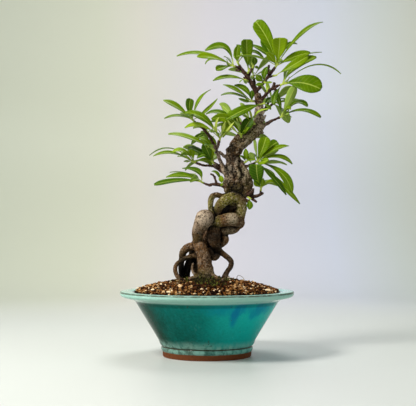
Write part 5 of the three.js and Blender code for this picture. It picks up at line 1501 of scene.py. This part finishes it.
class BONSAI_OT_stage(bpy.types.Operator):
    """Set the floor, the lights and the camera"""

    bl_idname = "bonsai.stage"
    bl_label = "Stage"

    CAMERA_PLACE = (1, -940, 120)
    CAMERA_TARGET = (1, 0, 152)
    CAMERA_LENS = 81.3
    CAMERA_SENSOR = 36
    TREE = (10, 0, 150)
    BACKDROP = (20, 1350, 150)
    LIGHTS = [
        # place, what it shines on, size, watts, colour
        ((-560, -520, 800), TREE, (300, 300), 14.0, (1.0, 0.98, 0.94)),
        ((760, -420, 520), TREE, (500, 500), 1.4, (0.9, 0.94, 1.0)),
        ((60, 420, 900), TREE, (500, 500), 5.0, (0.97, 1.0, 0.98)),
        ((-1000, -60, 330), TREE, (40, 600), 4.0, (1.0, 1.0, 1.0)),
        ((20, 350, 950), BACKDROP, (500, 300), 1.7, (1.0, 0.98, 1.0)),
    ]
    AIR_COLOUR = (0.93, 0.96, 1.0, 1)
    AIR_STRENGTH = 0.12
    FLOOR_FACETS = 96
    FLOOR_MIDDLE = 500
    FLOOR_RADIUS = 900
    BEND = 450  # radius of the curve between floor and wall
    BEND_STEPS = 8
    WALL_HEIGHT = 1100

    def execute(self, context):
        self.floor()
        for i, (place, target, size, watts, colour) in enumerate(self.LIGHTS):
            light = bpy.data.lights.new(f"softbox_{i}", "AREA")
            light.shape = "RECTANGLE"
            light.size, light.size_y = (side * MM for side in size)
            light.energy = watts
            light.color = colour
            lamp = bpy.data.objects.new(light.name, light)
            lamp.visible_camera = False
            self.set_up(context, lamp, place, target)
        world = bpy.data.worlds.new("studio")
        world.use_nodes = True
        world.node_tree.nodes["Background"].inputs[0].default_value = self.AIR_COLOUR
        world.node_tree.nodes["Background"].inputs[1].default_value = self.AIR_STRENGTH
        context.scene.world = world
        context.scene.view_settings.view_transform = "Standard"
        camera = bpy.data.objects.new("camera", bpy.data.cameras.new("camera"))
        camera.data.lens = self.CAMERA_LENS
        camera.data.sensor_width = self.CAMERA_SENSOR
        self.set_up(context, camera, self.CAMERA_PLACE, self.CAMERA_TARGET)
        context.scene.camera = camera
        return {"FINISHED"}

    def set_up(self, context, thing, place, target):
        """Puts a lamp or the camera at its place and turns it to its target."""
        context.scene.collection.objects.link(thing)
        thing.location = Vector(place) * MM
        aim = Vector(target) * MM - thing.location
        thing.rotation_euler = aim.to_track_quat("-Z", "Y").to_euler()

    def floor(self):
        """A pale floor that curves up into a wall all round, with painted light across the wall."""
        mesh = bmesh.new()
        profile = [(0, 0), (self.FLOOR_MIDDLE, 0), (self.FLOOR_RADIUS, 0)]
        for step in range(1, self.BEND_STEPS + 1):
            turn = step / self.BEND_STEPS * math.pi / 2
            profile.append((self.FLOOR_RADIUS + self.BEND * math.sin(turn), self.BEND * (1 - math.cos(turn))))
        profile.append((self.FLOOR_RADIUS + self.BEND, self.WALL_HEIGHT))
        turned(mesh, profile, self.FLOOR_FACETS)
        paper = Finish("studio_floor", 0.42)
        across, depth, _ = paper.split(paper.place())
        # painted light across the wall: lightest just left of the middle and duller towards the sides, warm at
        # the left and cool at the right
        wall = paper.ramp(paper.plus(across, 0.5), [
            (0.0, paint(213, 218, 200)), (0.24, paint(226, 229, 209)), (0.34, paint(235, 232, 220)),
            (0.5, paint(232, 228, 236)), (0.78, paint(218, 223, 238)), (0.91, paint(207, 214, 211)),
            (1.0, paint(201, 205, 192)),
        ])
        paper.colour(paper.coat(paint(193, 196, 192), wall, paper.ease(depth, 0.3, 1.2)))
        floor = shape_of("studio_floor", mesh, [paper])


class BONSAI_PT_sidebar(bpy.types.Panel):
    """Lists the bonsai's pieces and what can be changed on them"""

    bl_idname = "BONSAI_PT_sidebar"
    bl_label = "Bonsai"
    bl_space_type = "VIEW_3D"
    bl_region_type = "UI"
    bl_category = "Bonsai"

    def draw(self, context):
        layout = self.layout
        for name, _ in SETTINGS:
            settings = getattr(context.scene, name)
            box = layout.box()
            box.label(text=name.replace("_", " ").capitalize())
            for key in settings.bl_rna.properties.keys():
                if key not in {"rna_type", "name"}:
                    box.prop(settings, key)
        for operator in OPERATORS:
            layout.operator(operator.bl_idname)


SETTINGS = [
    ("bonsai_pot", BonsaiPotSettings),
    ("bonsai_soil", BonsaiSoilSettings),
    ("bonsai_tree", BonsaiTreeSettings),
    ("bonsai_leaves", BonsaiLeafSettings),
]
OPERATORS = [
    BONSAI_OT_pot, BONSAI_OT_drainage, BONSAI_OT_soil, BONSAI_OT_moss, BONSAI_OT_wood, BONSAI_OT_leaves,
    BONSAI_OT_stage,
]
CLASSES = [*(group for _, group in SETTINGS), *OPERATORS, BONSAI_PT_sidebar]


def register():
    for cls in CLASSES:
        bpy.utils.register_class(cls)
    for name, group in SETTINGS:
        setattr(bpy.types.Scene, name, PointerProperty(type=group))


def unregister():
    for name, _ in SETTINGS:
        delattr(bpy.types.Scene, name)
    for cls in reversed(CLASSES):
        bpy.utils.unregister_class(cls)


def main():
    register()
    bpy.ops.bonsai.stage()
    bpy.ops.bonsai.pot()
    bpy.ops.bonsai.drainage()
    bpy.ops.bonsai.soil()
    bpy.ops.bonsai.moss()
    bpy.ops.bonsai.wood()
    bpy.ops.bonsai.leaves()
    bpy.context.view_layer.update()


if __name__ == "__main__":
    main()
